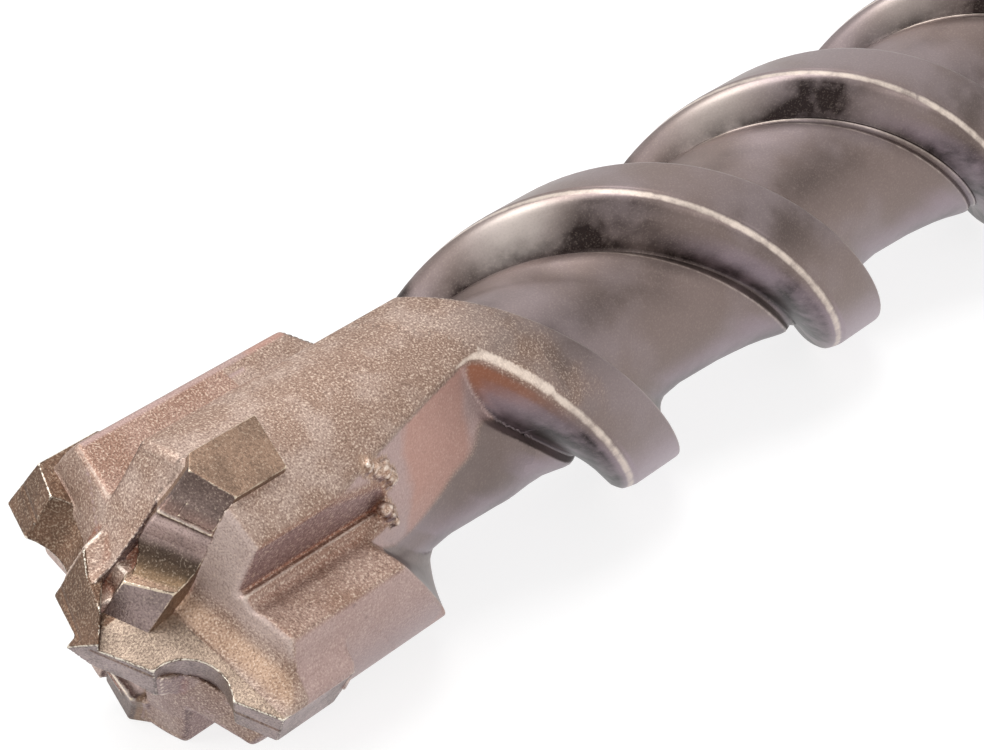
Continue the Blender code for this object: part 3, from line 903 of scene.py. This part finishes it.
@dataclass
class Net:
    """Mesh points and faces over the zero surface of a distance field."""

    field_of: Field
    low: tuple[float, float, float]
    high: tuple[float, float, float]
    steps: tuple[float, float, float]
    coarse: int = 4

    def axes(self) -> list[np.ndarray]:
        """Grid lines along the three directions.

        Returns:
            One array of places for each direction.
        """
        lines = []
        for low, high, step in zip(self.low, self.high, self.steps):
            count = int(math.ceil((high - low) / step / self.coarse)) * self.coarse
            lines.append(low + step * np.arange(count + 1))
        return lines

    def spread(self, blocks: np.ndarray) -> np.ndarray:
        """Repeat each coarse block's value over its fine cells.

        Args:
            blocks: Values by coarse block.

        Returns:
            Values by fine cell.
        """
        for axis in range(3):
            blocks = np.repeat(blocks, self.coarse, axis=axis)
        return blocks

    def sample(self, axes: list[np.ndarray]) -> np.ndarray:
        """Distances at the grid's points, worked out finely only near the surface.

        Args:
            axes: Grid lines along the three directions.

        Returns:
            Distances by grid point.
        """
        blocks = [len(a) // self.coarse for a in axes]
        middles = [a[:-1].reshape(-1, self.coarse).mean(axis=1) + 0.5 * (a[1] - a[0]) for a in axes]
        mesh = np.stack(np.meshgrid(*middles, indexing="ij"), axis=-1).reshape(-1, 3)
        rough = self.field_of(mesh).reshape(blocks)
        size = math.sqrt(sum((s * self.coarse) ** 2 for s in self.steps)) / 2
        near = np.abs(rough) < size * 1.7 + 0.15
        values = np.full([len(a) for a in axes], FAR, dtype=np.float64)
        values[:-1, :-1, :-1] = self.spread(rough)
        grown = np.zeros(values.shape, bool)
        grown[:-1, :-1, :-1] = self.spread(near)
        for axis in range(3):
            grown = grown | np.roll(grown, 1, axis=axis)
        index = np.nonzero(grown)
        points = np.stack([axes[i][index[i]] for i in range(3)], axis=1)
        for start in range(0, len(points), 400000):
            part = slice(start, start + 400000)
            values[index[0][part], index[1][part], index[2][part]] = self.field_of(points[part])
        return values

    def draw(self) -> tuple[np.ndarray, np.ndarray]:
        """Draw the net.

        Returns:
            Vertex rows in millimetres, and rows of four vertex numbers.
        """
        axes = self.axes()
        values = self.sample(axes)
        inside = values < 0
        shape = np.array(values.shape)
        cells, places, quads, flips = [], [], [], []
        for axis in range(3):
            first = [slice(None)] * 3
            second = [slice(None)] * 3
            first[axis] = slice(0, -1)
            second[axis] = slice(1, None)
            a, b = values[tuple(first)], values[tuple(second)]
            crossing = inside[tuple(first)] != inside[tuple(second)]
            others = [i for i in range(3) if i != axis]
            for other in others:
                edge = [slice(None)] * 3
                edge[other] = 0
                crossing[tuple(edge)] = False
                edge[other] = -1
                crossing[tuple(edge)] = False
            index = np.nonzero(crossing)
            share = a[index] / (a[index] - b[index])
            point = np.stack([axes[i][index[i]] for i in range(3)], axis=1)
            point[:, axis] += share * self.steps[axis]
            corner = np.stack(index, axis=1)
            around = []
            for du, dv in ((-1, -1), (0, -1), (0, 0), (-1, 0)):
                cell = corner.copy()
                cell[:, others[0]] += du
                cell[:, others[1]] += dv
                code = (cell[:, 0] * shape[1] + cell[:, 1]) * shape[2] + cell[:, 2]
                around.append(code)
                cells.append(code)
                places.append(point)
            quads.append(np.stack(around, axis=1))
            outward = a[index] < b[index]
            flips.append(outward if axis != 1 else ~outward)
        cells, places = np.concatenate(cells), np.concatenate(places)
        used, inverse = np.unique(cells, return_inverse=True)
        count = np.bincount(inverse)
        vertices = np.stack(
            [np.bincount(inverse, weights=places[:, i]) / count for i in range(3)], axis=1)
        faces = np.searchsorted(used, np.concatenate(quads))
        flip = np.concatenate(flips)
        faces[~flip] = faces[~flip][:, ::-1]
        for _ in range(3):
            vertices = self.settle(vertices)
        return vertices, faces

    def settle(self, vertices: np.ndarray) -> np.ndarray:
        """Move vertices a step onto the surface.

        Args:
            vertices: Vertex rows in millimetres.

        Returns:
            The moved rows.
        """
        slope = gradient(self.field_of, vertices)
        size = np.maximum(np.sum(slope * slope, axis=1), 0.3)
        move = self.field_of(vertices) / size
        limit = max(self.steps) * 0.5
        return vertices - slope * np.clip(move, -limit, limit)[:, None]


def gradient(field_of: Field, points: np.ndarray, reach: float = 0.02) -> np.ndarray:
    """Slope of a distance field at points.

    Args:
        field_of: The distance field.
        points: Array of (station, across, up) rows.
        reach: Half the span over which the slope is taken.

    Returns:
        Slope rows.
    """
    slope = np.zeros_like(points)
    for axis in range(3):
        step = np.zeros(3)
        step[axis] = reach
        slope[:, axis] = (field_of(points + step) - field_of(points - step)) / (2 * reach)
    return slope


def bend_of(field_of: Field, points: np.ndarray, normals: np.ndarray, reach: float) -> np.ndarray:
    """How convex the surface is.

    Args:
        field_of: The distance field.
        points: Points on its surface.
        normals: Their surface directions.
        reach: Radius of the ring of places compared.

    Returns:
        Values above zero on edges and below zero in corners.
    """
    helper = np.where(np.abs(normals[:, :1]) < 0.8, [[1.0, 0.0, 0.0]], [[0.0, 1.0, 0.0]])
    first = np.cross(normals, helper)
    first /= np.linalg.norm(first, axis=1)[:, None] + 1e-9
    second = np.cross(normals, first)
    total = np.zeros(len(points))
    for turn in range(8):
        angle = math.pi * turn / 4
        step = first * math.cos(angle) + second * math.sin(angle)
        total += field_of(points + step * reach)
    return total / (8 * reach)


class Socket:
    """A shader value that can be written in sums and products."""

    def __init__(self, shader: "Shader", output: bpy.types.NodeSocket) -> None:
        """Wrap an output socket of a shader."""
        self.shader = shader
        self.output = output

    def _with(self, kind: str, *values: "Socket | float") -> "Socket":
        """Add a Math node of one kind."""
        return self.shader.node("ShaderNodeMath", {"operation": kind}, list(values))

    def __add__(self, other: "Socket | float") -> "Socket":
        """Sum."""
        return self._with("ADD", self, other)

    __radd__ = __add__

    def __mul__(self, other: "Socket | float") -> "Socket":
        """Product."""
        return self._with("MULTIPLY", self, other)

    __rmul__ = __mul__

    def __sub__(self, other: "Socket | float") -> "Socket":
        """Difference."""
        return self._with("SUBTRACT", self, other)

    def __rsub__(self, other: "Socket | float") -> "Socket":
        """Difference, reflected."""
        return self._with("SUBTRACT", other, self)

    def between(self, low: float, high: float) -> "Socket":
        """Rise smoothly from 0 at low to 1 at high."""
        settings = {"interpolation_type": "SMOOTHSTEP"}
        return self.shader.node("ShaderNodeMapRange", settings, [self, low, high, 0.0, 1.0])

    def limited(self) -> "Socket":
        """Keep within 0 and 1."""
        return self._with("MINIMUM", self._with("MAXIMUM", self, 0.0), 1.0)


Colour = tuple[float, float, float]


class Shader:
    """Node tree of one material, and short ways to add to it."""

    def __init__(self, name: str) -> None:
        """Start a material with a Principled shader.

        Args:
            name: Name of the material.
        """
        self.material = bpy.data.materials.new(name)
        self.material.use_nodes = True
        self.tree = self.material.node_tree
        self.surface = self.tree.nodes["Principled BSDF"]
        world = self.node("ShaderNodeTexCoord", {}, [], "Object")
        moved = self.node("ShaderNodeVectorMath", {"operation": "ADD"}, [world, Pose.shift()])
        settings = {"rotation_type": "X_AXIS"}
        self.place = self.node("ShaderNodeVectorRotate", settings, {
            "Vector": moved, "Angle": -Pose.roll()})

    def node(self, kind: str, settings: dict[str, object], values: list[object] | dict[str, object],
             output: str | int = 0) -> Socket:
        """Add any node.

        Args:
            kind: Blender's node type.
            settings: Properties to set before the sockets.
            values: Values or links, in order or by socket name.
            output: Which output to give back.

        Returns:
            The wrapped output.
        """
        made = self.tree.nodes.new(kind)
        for key, value in settings.items():
            setattr(made, key, value)
        pairs = values.items() if isinstance(values, dict) else enumerate(values)
        for key, value in pairs:
            self.feed(made.inputs[key], value)
        return Socket(self, made.outputs[output])

    def feed(self, target: bpy.types.NodeSocket, value: object) -> None:
        """Link or set one socket.

        Args:
            target: The input socket.
            value: A wrapped output or a constant.
        """
        if isinstance(value, Socket):
            self.tree.links.new(value.output, target)
        elif isinstance(value, tuple) and len(value) == 3 and target.type == "RGBA":
            target.default_value = (*value, 1.0)
        else:
            target.default_value = value

    def noise(self, size: float, detail: float = 2.0, rough: float = 0.5) -> Socket:
        """Noise whose lumps are size millimetres across.

        Args:
            size: Size of the lumps.
            detail: Number of finer layers.
            rough: Weight of those layers.

        Returns:
            The noise, from 0 to 1.
        """
        return self.node("ShaderNodeTexNoise", {}, {
            "Vector": self.place, "Scale": 1.0 / (size * MM), "Detail": detail,
            "Roughness": rough})

    def mix(self, factor: Socket | float, first: Socket | Colour, second: Socket | Colour) -> Socket:
        """Blend two colours.

        Args:
            factor: Share of the second colour.
            first: Colour at 0.
            second: Colour at 1.

        Returns:
            The blended colour.
        """
        made = self.tree.nodes.new("ShaderNodeMix")
        made.data_type = "RGBA"
        self.feed(made.inputs[0], factor)
        self.feed(made.inputs[6], first)
        self.feed(made.inputs[7], second)
        return Socket(self, made.outputs[2])

    def ramp(self, factor: Socket, stops: list[tuple[float, Colour]]) -> Socket:
        """Colour ramp over a factor.

        Args:
            factor: Place along the ramp.
            stops: Places and their colours.

        Returns:
            The colour.
        """
        made = self.tree.nodes.new("ShaderNodeValToRGB")
        points = made.color_ramp.elements
        while len(points) < len(stops):
            points.new(0.5)
        for point, (place, colour) in zip(points, stops):
            point.position = place
            point.color = (*colour, 1.0)
        self.feed(made.inputs[0], factor)
        return Socket(self, made.outputs[0])

    def attribute(self, name: str) -> Socket:
        """Value that the mesh carries at its points."""
        return self.node("ShaderNodeAttribute", {"attribute_name": name}, [], "Fac")

    def station(self) -> Socket:
        """Distance from the point of the bit, in millimetres."""
        return self.node("ShaderNodeSeparateXYZ", {}, [self.place], "X") * (1.0 / MM)

    def bump(self, height: Socket, strength: float, depth: float) -> Socket:
        """Turn a height into a normal; depth in millimetres."""
        return self.node("ShaderNodeBump", {}, {
            "Strength": strength, "Distance": depth * MM, "Height": height}, "Normal")

    def finish(self, colour: Socket | Colour, rough: Socket | float, metal: Socket | float,
               normal: Socket | None = None) -> bpy.types.Material:
        """Feed the Principled shader.

        Args:
            colour: Base colour.
            rough: Roughness.
            metal: Metallic value.
            normal: Normal, or none for a plain one.

        Returns:
            The finished material.
        """
        self.feed(self.surface.inputs["Base Color"], colour)
        self.feed(self.surface.inputs["Roughness"], rough)
        self.feed(self.surface.inputs["Metallic"], metal)
        if normal:
            self.feed(self.surface.inputs["Normal"], normal)
        return self.material


def paint(red: float, green: float, blue: float) -> Colour:
    """Linear colour of a paint card that is given from 0 to 255."""
    shares = (red / 255.0, green / 255.0, blue / 255.0)
    return tuple(c / 12.92 if c < 0.04045 else ((c + 0.055) / 1.055) ** 2.4 for c in shares)


@dataclass(frozen=True)
class BlastedSteel:
    """Sand-blasted, heat-tinted steel that fades into the darker steel of the flute."""

    bronze: Colour = paint(152, 126, 111)
    bronze_light: Colour = paint(172, 150, 138)
    copper: Colour = paint(150, 98, 76)
    gilt: Colour = paint(204, 170, 142)
    olive: Colour = paint(128, 112, 107)
    smooth: Colour = paint(178, 152, 148)
    rosy: Colour = paint(184, 142, 130)
    grey: Colour = paint(140, 126, 126)
    # Lilac of a painted floor reflection, on faces turned down.
    floor_reflection_lilac: Colour = paint(164, 146, 156)
    # dark: colour of painted shade and dark reflections.
    dark: Colour = paint(26, 19, 19)
    pit: Colour = paint(84, 60, 48)
    # pale: colour of a painted glint.
    pale: Colour = paint(226, 214, 206)
    edge: Colour = paint(236, 220, 206)
    speck: Colour = paint(232, 212, 194)
    grain_size: float = 0.10

    def build(self) -> bpy.types.Material:
        """Make the material.

        Returns:
            The finished material.
        """
        s = Shader("blasted_steel")
        station = s.station()
        cloud = s.noise(2.2, 3.0)
        patch = s.noise(7.0, 3.0)
        grain = s.noise(self.grain_size, 1.0, 0.6)
        pits = s.noise(0.5, 3.0, 0.6)
        edge, hollow = s.attribute("edge"), s.attribute("hollow")
        smooth, under, shade = s.attribute("smooth"), s.attribute("under"), s.attribute("shade")
        chips = s.noise(0.9, 4.0, 0.75)
        worn = (edge * (0.35 + chips)).between(0.16, 0.50)
        crest = (s.attribute("crest") * (0.2 + chips * 1.3)).between(0.30, 0.95)
        # Painted shade in hollows, from the hollow attribute.
        hollow_shade = hollow.between(0.05, 0.40)
        fade = (station + cloud * 7.0).between(24.5, 30.5)
        bare = 1.0 - (1.0 - fade) * (1.0 - s.attribute("bare").limited())
        dull = (station + patch * 8.0).between(25.0, 33.0)
        blasted = (1.0 - bare) * (1.0 - smooth * 0.8)
        head = s.mix(cloud.between(0.38, 0.64), self.bronze, self.bronze_light)
        head = s.mix(s.attribute("copper") * (0.45 + cloud * 0.6), head, self.copper)
        # Painted shade: hollows tinted copper.
        head = s.mix(hollow_shade * 0.75, head, self.copper)
        head = s.mix(s.attribute("gilt") * (0.1 + cloud * 0.9), head, self.gilt)
        rosy = (station + cloud * 2.0).between(15.8, 16.6) * (station + cloud).between(21.0, 20.0)
        head = s.mix(smooth * 0.9, head, s.mix(rosy, self.smooth, self.rosy))
        # Painted floor reflection: lilac on faces turned down.
        head = s.mix(under * (1.0 - smooth * 0.5) * 0.55, head, self.floor_reflection_lilac)
        tail = s.mix(dull, self.olive, s.mix(patch.between(0.40, 0.62), self.grey, self.olive))
        tail = s.mix(s.attribute("copper"), tail, self.copper)
        # Painted floor reflection on the bar's faces turned down.
        tail = s.mix(under * 0.85, tail, self.floor_reflection_lilac)
        colour = s.mix(bare, head, tail)
        # Painted glint from the pale attribute.
        colour = s.mix(s.attribute("pale") * 0.8, colour, self.pale)
        # Painted shade and dark reflections from the shade attribute; on the shank a thin even scale.
        shade_and_scale = (shade * (0.42 + s.noise(3.5, 4.0, 0.6).between(0.32, 0.66) * 0.85)).limited()
        colour = s.mix(shade_and_scale * 0.93, colour, self.dark)
        # Painted shade in the hollows of the bare steel.
        colour = s.mix(hollow_shade * bare * 0.5, colour, self.dark)
        colour = s.mix(grain.between(0.48, 0.30) * (0.08 + blasted * 0.40), colour, self.pit)
        colour = s.mix(grain.between(0.52, 0.72) * (0.06 + blasted * 0.50), colour, self.speck)
        colour = s.mix(worn * (0.35 + blasted * 0.35), colour, self.edge)
        # Painted highlight lines from the crest attribute, broken up like wear.
        colour = s.mix(crest * 0.75, colour, self.edge)
        rough = 0.32 + blasted * 0.18 + pits * 0.10 - worn * 0.10
        height = grain * (0.05 + blasted * 0.95) + pits * (0.05 + blasted * 0.20)
        return s.finish(colour, rough, 0.75 + shade_and_scale * 0.25, s.bump(height, 0.8, 0.035))


@dataclass(frozen=True)
class MainCarbide:
    """Ground and blasted carbide of the main plate."""

    wall: Colour = paint(164, 144, 128)
    flank: Colour = paint(116, 88, 70)
    # Lilac of a painted floor reflection, on faces turned down.
    floor_reflection_lilac: Colour = paint(168, 150, 150)
    dark: Colour = paint(52, 40, 32)
    edge: Colour = paint(238, 228, 212)
    speck: Colour = paint(222, 204, 180)
    grain_size: float = 0.10

    def build(self) -> bpy.types.Material:
        """Make the material.

        Returns:
            The finished material.
        """
        s = Shader("main_carbide")
        cloud = s.noise(1.6, 3.0)
        grain = s.noise(self.grain_size, 1.0, 0.6)
        edge, hollow = s.attribute("edge"), s.attribute("hollow")
        chips = s.noise(0.22, 3.0, 0.8)
        worn = (edge * (0.25 + chips * 1.3)).between(0.30, 0.50)
        nicks = (edge * 1.6).limited() * chips.between(0.56, 0.44)
        colour = s.mix(s.attribute("flank"), self.wall, self.flank)
        # Painted floor reflection: lilac on faces turned down.
        colour = s.mix(s.attribute("under"), colour, self.floor_reflection_lilac)
        colour = s.mix(cloud.between(0.62, 0.38) * 0.35, colour, self.dark)
        # Painted shade in hollows.
        colour = s.mix(hollow.between(0.06, 0.4) * 0.7, colour, self.dark)
        colour = s.mix(grain.between(0.50, 0.32) * 0.40, colour, self.dark)
        colour = s.mix(grain.between(0.50, 0.72) * 0.26, colour, self.speck)
        colour = s.mix(nicks * 0.8, colour, self.dark)
        colour = s.mix(worn * 0.85, colour, self.edge)
        return s.finish(colour, 0.44 - worn * 0.12, 0.75, s.bump(grain, 0.7, 0.03))


@dataclass(frozen=True)
class SideCarbide:
    """Pressed carbide of the side plates, with colour bands along its stepped face, which paint much
    of its light and shade.
    """

    side: Colour = paint(144, 117, 98)
    rim: Colour = paint(176, 162, 152)
    # Colours along the stepped face, with painted shade in the step's hollow and in the dip below the
    # ridge, and a painted highlight on the ridge.
    bands: tuple[tuple[float, Colour], ...] = (
        (1.2, paint(160, 140, 136)), (2.68, paint(150, 132, 128)), (2.74, paint(40, 26, 18)),
        (2.82, paint(120, 100, 80)), (2.95, paint(140, 114, 88)), (3.3, paint(86, 68, 52)),
        (3.9, paint(84, 68, 58)), (4.5, paint(170, 146, 140)), (5.3, paint(186, 162, 156)),
        (5.52, paint(96, 74, 68)), (5.68, paint(80, 60, 56)), (5.78, paint(226, 212, 202)),
        (5.95, paint(140, 112, 102)), (6.3, paint(132, 108, 100)), (6.6, paint(120, 102, 96)),
        (7.6, paint(104, 86, 80)))
    band_start: float = 1.0
    band_end: float = 8.0
    dark: Colour = paint(44, 34, 28)
    edge: Colour = paint(232, 214, 190)
    speck: Colour = paint(214, 196, 176)
    grain_size: float = 0.10

    def build(self) -> bpy.types.Material:
        """Make the material.

        Returns:
            The finished material.
        """
        s = Shader("side_carbide")
        cloud = s.noise(1.4, 3.0)
        grain = s.noise(self.grain_size, 1.0, 0.6)
        edge, hollow = s.attribute("edge"), s.attribute("hollow")
        worn = (edge * (0.25 + s.noise(0.5, 4.0, 0.7) * 1.2)).between(0.32, 0.55)
        wobble = s.attribute("band") + (s.noise(0.9, 2.0) - 0.5) * 0.18
        share = (wobble - self.band_start) * (1.0 / (self.band_end - self.band_start))
        # Bands of tint and painted light and shade across the front face.
        colour = s.mix(s.attribute("face"), self.side, s.ramp(share, [
            ((place - self.band_start) / (self.band_end - self.band_start), colour)
            for place, colour in self.bands]))
        colour = s.mix(cloud.between(0.60, 0.36) * 0.25, colour, self.dark)
        # Painted shade in hollows.
        colour = s.mix(hollow.between(0.10, 0.5) * 0.6, colour, self.dark)
        colour = s.mix(grain.between(0.50, 0.32) * 0.35, colour, self.dark)
        colour = s.mix(grain.between(0.56, 0.74) * 0.30, colour, self.speck)
        colour = s.mix(worn * 0.75, colour, self.edge)
        return s.finish(colour, 0.42 - worn * 0.1, 0.75, s.bump(grain, 0.6, 0.03))


class Quality(Enum):
    """How closely the surface is drawn."""

    DRAFT = 1.9
    FULL = 1.0


@dataclass
class Builder:
    """Makes pieces of the bit and lets them ride on the CAD body."""

    frame: Matrix
    side: float = 1.0
    body: str = "root"
    edge_reach: float = 0.14
    hollow_reach: float = 0.45

    def piece(self, name: str, net: tuple[np.ndarray, np.ndarray], field_of: Field,
              tones: Tones, material: bpy.types.Material,
              nodes: tuple[str, ...]) -> bpy.types.Object:
        """Make one piece.

        Args:
            name: Name of the piece.
            net: Vertices in millimetres and faces.
            field_of: The distance that the surface follows, for normals, wear and painted shade.
            tones: Gives the values that the material takes from each point.
            material: Its material.
            nodes: CAD nodes that the piece stands for.

        Returns:
            The new object.
        """
        vertices, faces = net
        mesh = bpy.data.meshes.new(name)
        turn = np.array(self.frame.to_3x3())
        placed = vertices @ turn.T * MM + np.array(self.frame.translation)
        mesh.from_pydata(placed.tolist(), [], faces.tolist())
        slope = gradient(field_of, vertices)
        normals = slope / (np.linalg.norm(slope, axis=1)[:, None] + 1e-9)
        values = {
            "edge": bend_of(field_of, vertices, normals, self.edge_reach) * 2.0,
            # hollow: how concave the surface is; the materials darken it as painted shade.
            "hollow": -bend_of(field_of, vertices, normals, self.hollow_reach),
            # under: how far a face turns towards the floor, where the materials paint a lilac floor
            # reflection.
            "under": rise(-normals @ Pose.upward() * self.side, 0.12, 0.60)}
        values.update(tones(vertices, normals))
        for label, value in values.items():
            layer = mesh.attributes.new(label, "FLOAT", "POINT")
            layer.data.foreach_set("value", np.clip(value, 0.0, 9.0).astype(np.float32))
        mesh.shade_smooth()
        mesh.normals_split_custom_set_from_vertices((normals @ turn.T).tolist())
        mesh.materials.append(material)
        item = bpy.data.objects.new(name, mesh)
        bpy.context.scene.collection.objects.link(item)
        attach(item, self.body)
        if nodes:
            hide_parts(*nodes)
        log.info("%s: %d vertices, %d faces", name, len(vertices), len(faces))
        return item


@dataclass
class FlutedBar:
    """The bar behind the head, drawn along its helix."""

    flute: Flute
    shank: Shank
    front: float = 23.9
    rear: float = 165.5
    turn_step: float = 4.0

    def distance(self, points: np.ndarray) -> np.ndarray:
        """Distance to the fluted bar and the neck."""
        return np.maximum(self.flute.distance(points), self.shank.turned(points))

    def rows(self) -> np.ndarray:
        """Offsets from a crest at which the section is drawn.

        Returns:
            Offsets in millimetres.
        """
        back = self.flute.land_width - self.flute.pitch
        return np.array([
            -self.flute.pitch + 0.06, -self.flute.pitch + 0.3, -16.9, -16.2, back - 0.9, back - 0.45,
            back - 0.2, back - 0.05, back + 0.06, back + 0.15, back + 0.26, back + 0.4, back + 0.55,
            back + 0.75, back + 1.0, back + 1.4, back + 2.0, back + 2.9, back + 4.2, -8.3, -7.0,
            -5.8, -4.7, -3.8, -3.2, -2.85, -2.6, -2.3, -2.05, -1.9, -1.8, -1.7, -1.6, -1.48, -1.34,
            -1.18, -0.98, -0.75, -0.5, -0.28, -0.14, -0.05])

    def draw(self) -> tuple[np.ndarray, np.ndarray]:
        """Draw the bar as rings that follow the helix, cut square at both ends.

        Returns:
            Vertex rows in millimetres, and rows of four vertex numbers.
        """
        rows = self.rows()
        columns = int(round(360.0 / self.turn_step))
        first = int((self.front - self.flute.crest_start) / self.flute.pitch) - 2
        last = int((self.rear - self.flute.crest_start) / self.flute.pitch) + 3
        grid = []
        for column in range(columns):
            angle = 360.0 * column / columns
            crest = self.flute.crest_start + self.flute.per_degree * angle
            stations = np.concatenate(
                [crest + self.flute.pitch * n + rows for n in range(first - 1, last + 1)])
            grid.append(np.clip(stations, self.front, self.rear))
        grid = np.array(grid)
        angles = np.radians(np.arange(columns) * 360.0 / columns)
        cos = np.cos(angles)[:, None] + 0 * grid
        sin = np.sin(angles)[:, None] + 0 * grid
        low, high = np.full(grid.shape, 2.0), np.full(grid.shape, 9.0)
        for _ in range(22):
            middle = (low + high) / 2
            points = np.stack([grid, middle * cos, middle * sin], axis=-1).reshape(-1, 3)
            outside = self.distance(points).reshape(grid.shape) > 0
            high = np.where(outside, middle, high)
            low = np.where(outside, low, middle)
        points = np.stack([grid, low * cos, low * sin], axis=-1).reshape(-1, 3)
        count, shift = grid.shape[1], 2 * len(rows)
        faces = []
        for column in range(columns):
            wrap = column == columns - 1
            after = 0 if wrap else column + 1
            k = np.arange(count - 1 - (shift if wrap else 0))
            here = column * count + k
            there = after * count + k + (shift if wrap else 0)
            faces.append(np.stack([here, there, there + 1, here + 1], axis=1))
        faces = np.concatenate(faces)
        span = points[faces][:, :, 0]
        faces = faces[(span.max(axis=1) - span.min(axis=1)) > 1e-6]
        return self.tidy(points, faces)

    def tidy(self, points: np.ndarray, faces: np.ndarray) -> tuple[np.ndarray, np.ndarray]:
        """Keep only the vertices in use."""
        used, inverse = np.unique(faces, return_inverse=True)
        return points[used], inverse.reshape(faces.shape)


@dataclass
class Studio:
    """Floor, lamps, world and camera."""

    floor_level: float = -7.53
    camera_place: tuple[float, float, float] = (-280.186, -85.072, 65.799)
    camera_turn: tuple[float, float, float] = (63.0447, 3.906, -50.7636)
    lens: float = 111.05
    shift: tuple[float, float] = (0.0043, 0.0136)
    room_level: float = 0.42
    floor_colour: float = 0.30
    floor_glow: float = 0.80

    def build(self) -> None:
        """Set everything round the bit."""
        bpy.context.scene.view_settings.view_transform = "Standard"
        self.floor()
        self.world()
        self.lamps()
        self.camera()

    def floor(self) -> None:
        """A pale floor."""
        mesh = bpy.data.meshes.new("floor")
        size = 3.0
        z = self.floor_level * MM
        mesh.from_pydata([(-size, -size, z), (size, -size, z), (size, size, z), (-size, size, z)],
                         [], [(0, 1, 2, 3)])
        floor = bpy.data.objects.new("floor", mesh)
        bpy.context.scene.collection.objects.link(floor)
        s = Shader("floor")
        seen = s.node("ShaderNodeLightPath", {}, [], "Is Camera Ray")
        seen = seen + s.node("ShaderNodeLightPath", {}, [], "Is Glossy Ray")
        seen = seen + s.node("ShaderNodeLightPath", {}, [], "Is Transmission Ray")
        glow = (self.floor_glow,) * 3
        s.surface.inputs["Base Color"].default_value = (*(self.floor_colour,) * 3, 1.0)
        s.surface.inputs["Roughness"].default_value = 0.9
        s.surface.inputs["Emission Strength"].default_value = 1.0
        s.feed(s.surface.inputs["Emission Color"], s.mix(seen.limited(), (0.0, 0.0, 0.0), glow))
        mesh.materials.append(s.material)

    def world(self) -> None:
        """White to the eye and in reflections, a plain level of light elsewhere."""
        world = bpy.data.worlds.new("studio")
        bpy.context.scene.world = world
        world.use_nodes = True
        tree = world.node_tree
        back = tree.nodes["Background"]
        path = tree.nodes.new("ShaderNodeLightPath")
        last = path.outputs["Is Camera Ray"]
        for kind in ("Is Glossy Ray", "Is Transmission Ray"):
            seen = tree.nodes.new("ShaderNodeMath")
            seen.operation = "MAXIMUM"
            tree.links.new(last, seen.inputs[0])
            tree.links.new(path.outputs[kind], seen.inputs[1])
            last = seen.outputs[0]
        level = tree.nodes.new("ShaderNodeMapRange")
        tree.links.new(last, level.inputs["Value"])
        level.inputs["To Min"].default_value = self.room_level
        level.inputs["To Max"].default_value = 1.0
        back.inputs["Color"].default_value = (1.0, 1.0, 1.0, 1.0)
        tree.links.new(level.outputs[0], back.inputs["Strength"])

    def lamp(self, name: str, place: tuple[float, float, float], size: float, power: float,
             target: Vector) -> None:
        """Add a square soft lamp.

        Args:
            name: Name of the lamp.
            place: Its place in metres.
            size: Its side in metres.
            power: Its power in watts.
            target: The place that it points at.
        """
        light = bpy.data.lights.new(name, "AREA")
        light.size = size
        light.energy = power
        item = bpy.data.objects.new(name, light)
        bpy.context.scene.collection.objects.link(item)
        item.location = place
        item.rotation_euler = (target - Vector(place)).to_track_quat("-Z", "Y").to_euler()

    def lamps(self) -> None:
        """Soft boxes above, to the left and to the right."""
        target = Vector((-0.18, 0.0, 0.0))
        self.lamp("top", (-0.15, 0.10, 0.70), 0.50, 3.4, target)
        self.lamp("left", (-0.75, 0.35, 0.35), 0.40, 1.6, target)
        self.lamp("right", (-0.10, -0.70, 0.30), 0.40, 0.8, target)

    def camera(self) -> None:
        """The photograph's camera."""
        data = bpy.data.cameras.new("camera")
        data.lens = self.lens
        data.sensor_width = 36.0
        data.shift_x, data.shift_y = self.shift
        data.clip_start = 0.01
        item = bpy.data.objects.new("camera", data)
        bpy.context.scene.collection.objects.link(item)
        item.location = Vector(self.camera_place) * MM
        item.rotation_euler = Euler([math.radians(a) for a in self.camera_turn])
        bpy.context.scene.camera = item


@dataclass
class DrillBit:
    """The whole bit."""

    quality: Quality = Quality.FULL

    def build(self) -> None:
        """Build every piece."""
        frame = Pose.frame()
        builder = Builder(frame)
        coarse = self.quality.value
        flute, shank, main, side = Flute(), Shank(), MainPlate(), SidePlate()
        head = HeadBlock(flute, main, side)
        steel = BlastedSteel().build()
        net = Net(head.distance, (1.0, -8.9, -8.9), (24.0, 8.9, 8.9), (0.14 * coarse,) * 3)
        builder.piece("head_steel", net.draw(), head.distance, head.tones, steel,
                      ("steel_body",))
        bar = FlutedBar(flute, shank)
        builder.piece("fluted_bar", bar.draw(), bar.distance, flute.tones, steel,
                      ())
        net = Net(shank.distance, (165.0, -7.2, -7.2), (211.0, 7.2, 7.2), (0.34, 0.26, 0.26))
        builder.piece("shank", net.draw(), shank.distance, shank.tones, steel,
                      ())
        net = Net(main.distance, (-0.6, -8.8, -2.3), (8.9, 8.8, 2.3), (0.09 * coarse,) * 3)
        builder.piece("main_plate_visual", net.draw(), main.distance, main.tones,
                      MainCarbide().build(), ("main_plate",))
        carbide = SideCarbide().build()
        net = Net(side.distance, (1.2, -1.9, -8.3), (9.9, 1.9, 0.0), (0.08 * coarse,) * 3)
        shape = net.draw()
        builder.piece("side_plate_low", shape, side.distance, side.tones, carbide,
                      ("side_plate_1",))
        flipped = Builder(frame @ Matrix.Rotation(math.pi, 4, "X"), side=-1.0)
        flipped.piece("side_plate_high", shape, side.distance, side.tones, carbide,
                      ("side_plate_2",))


def write_sizes() -> None:
    """Update the view layer.
    """
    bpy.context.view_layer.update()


def main() -> None:
    """Build the bit and its studio, and report each piece."""
    logging.basicConfig(level=logging.INFO)
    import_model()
    DrillBit(quality=Quality.FULL).build()
    Studio().build()
    write_sizes()


if __name__ == "__main__":
    main()
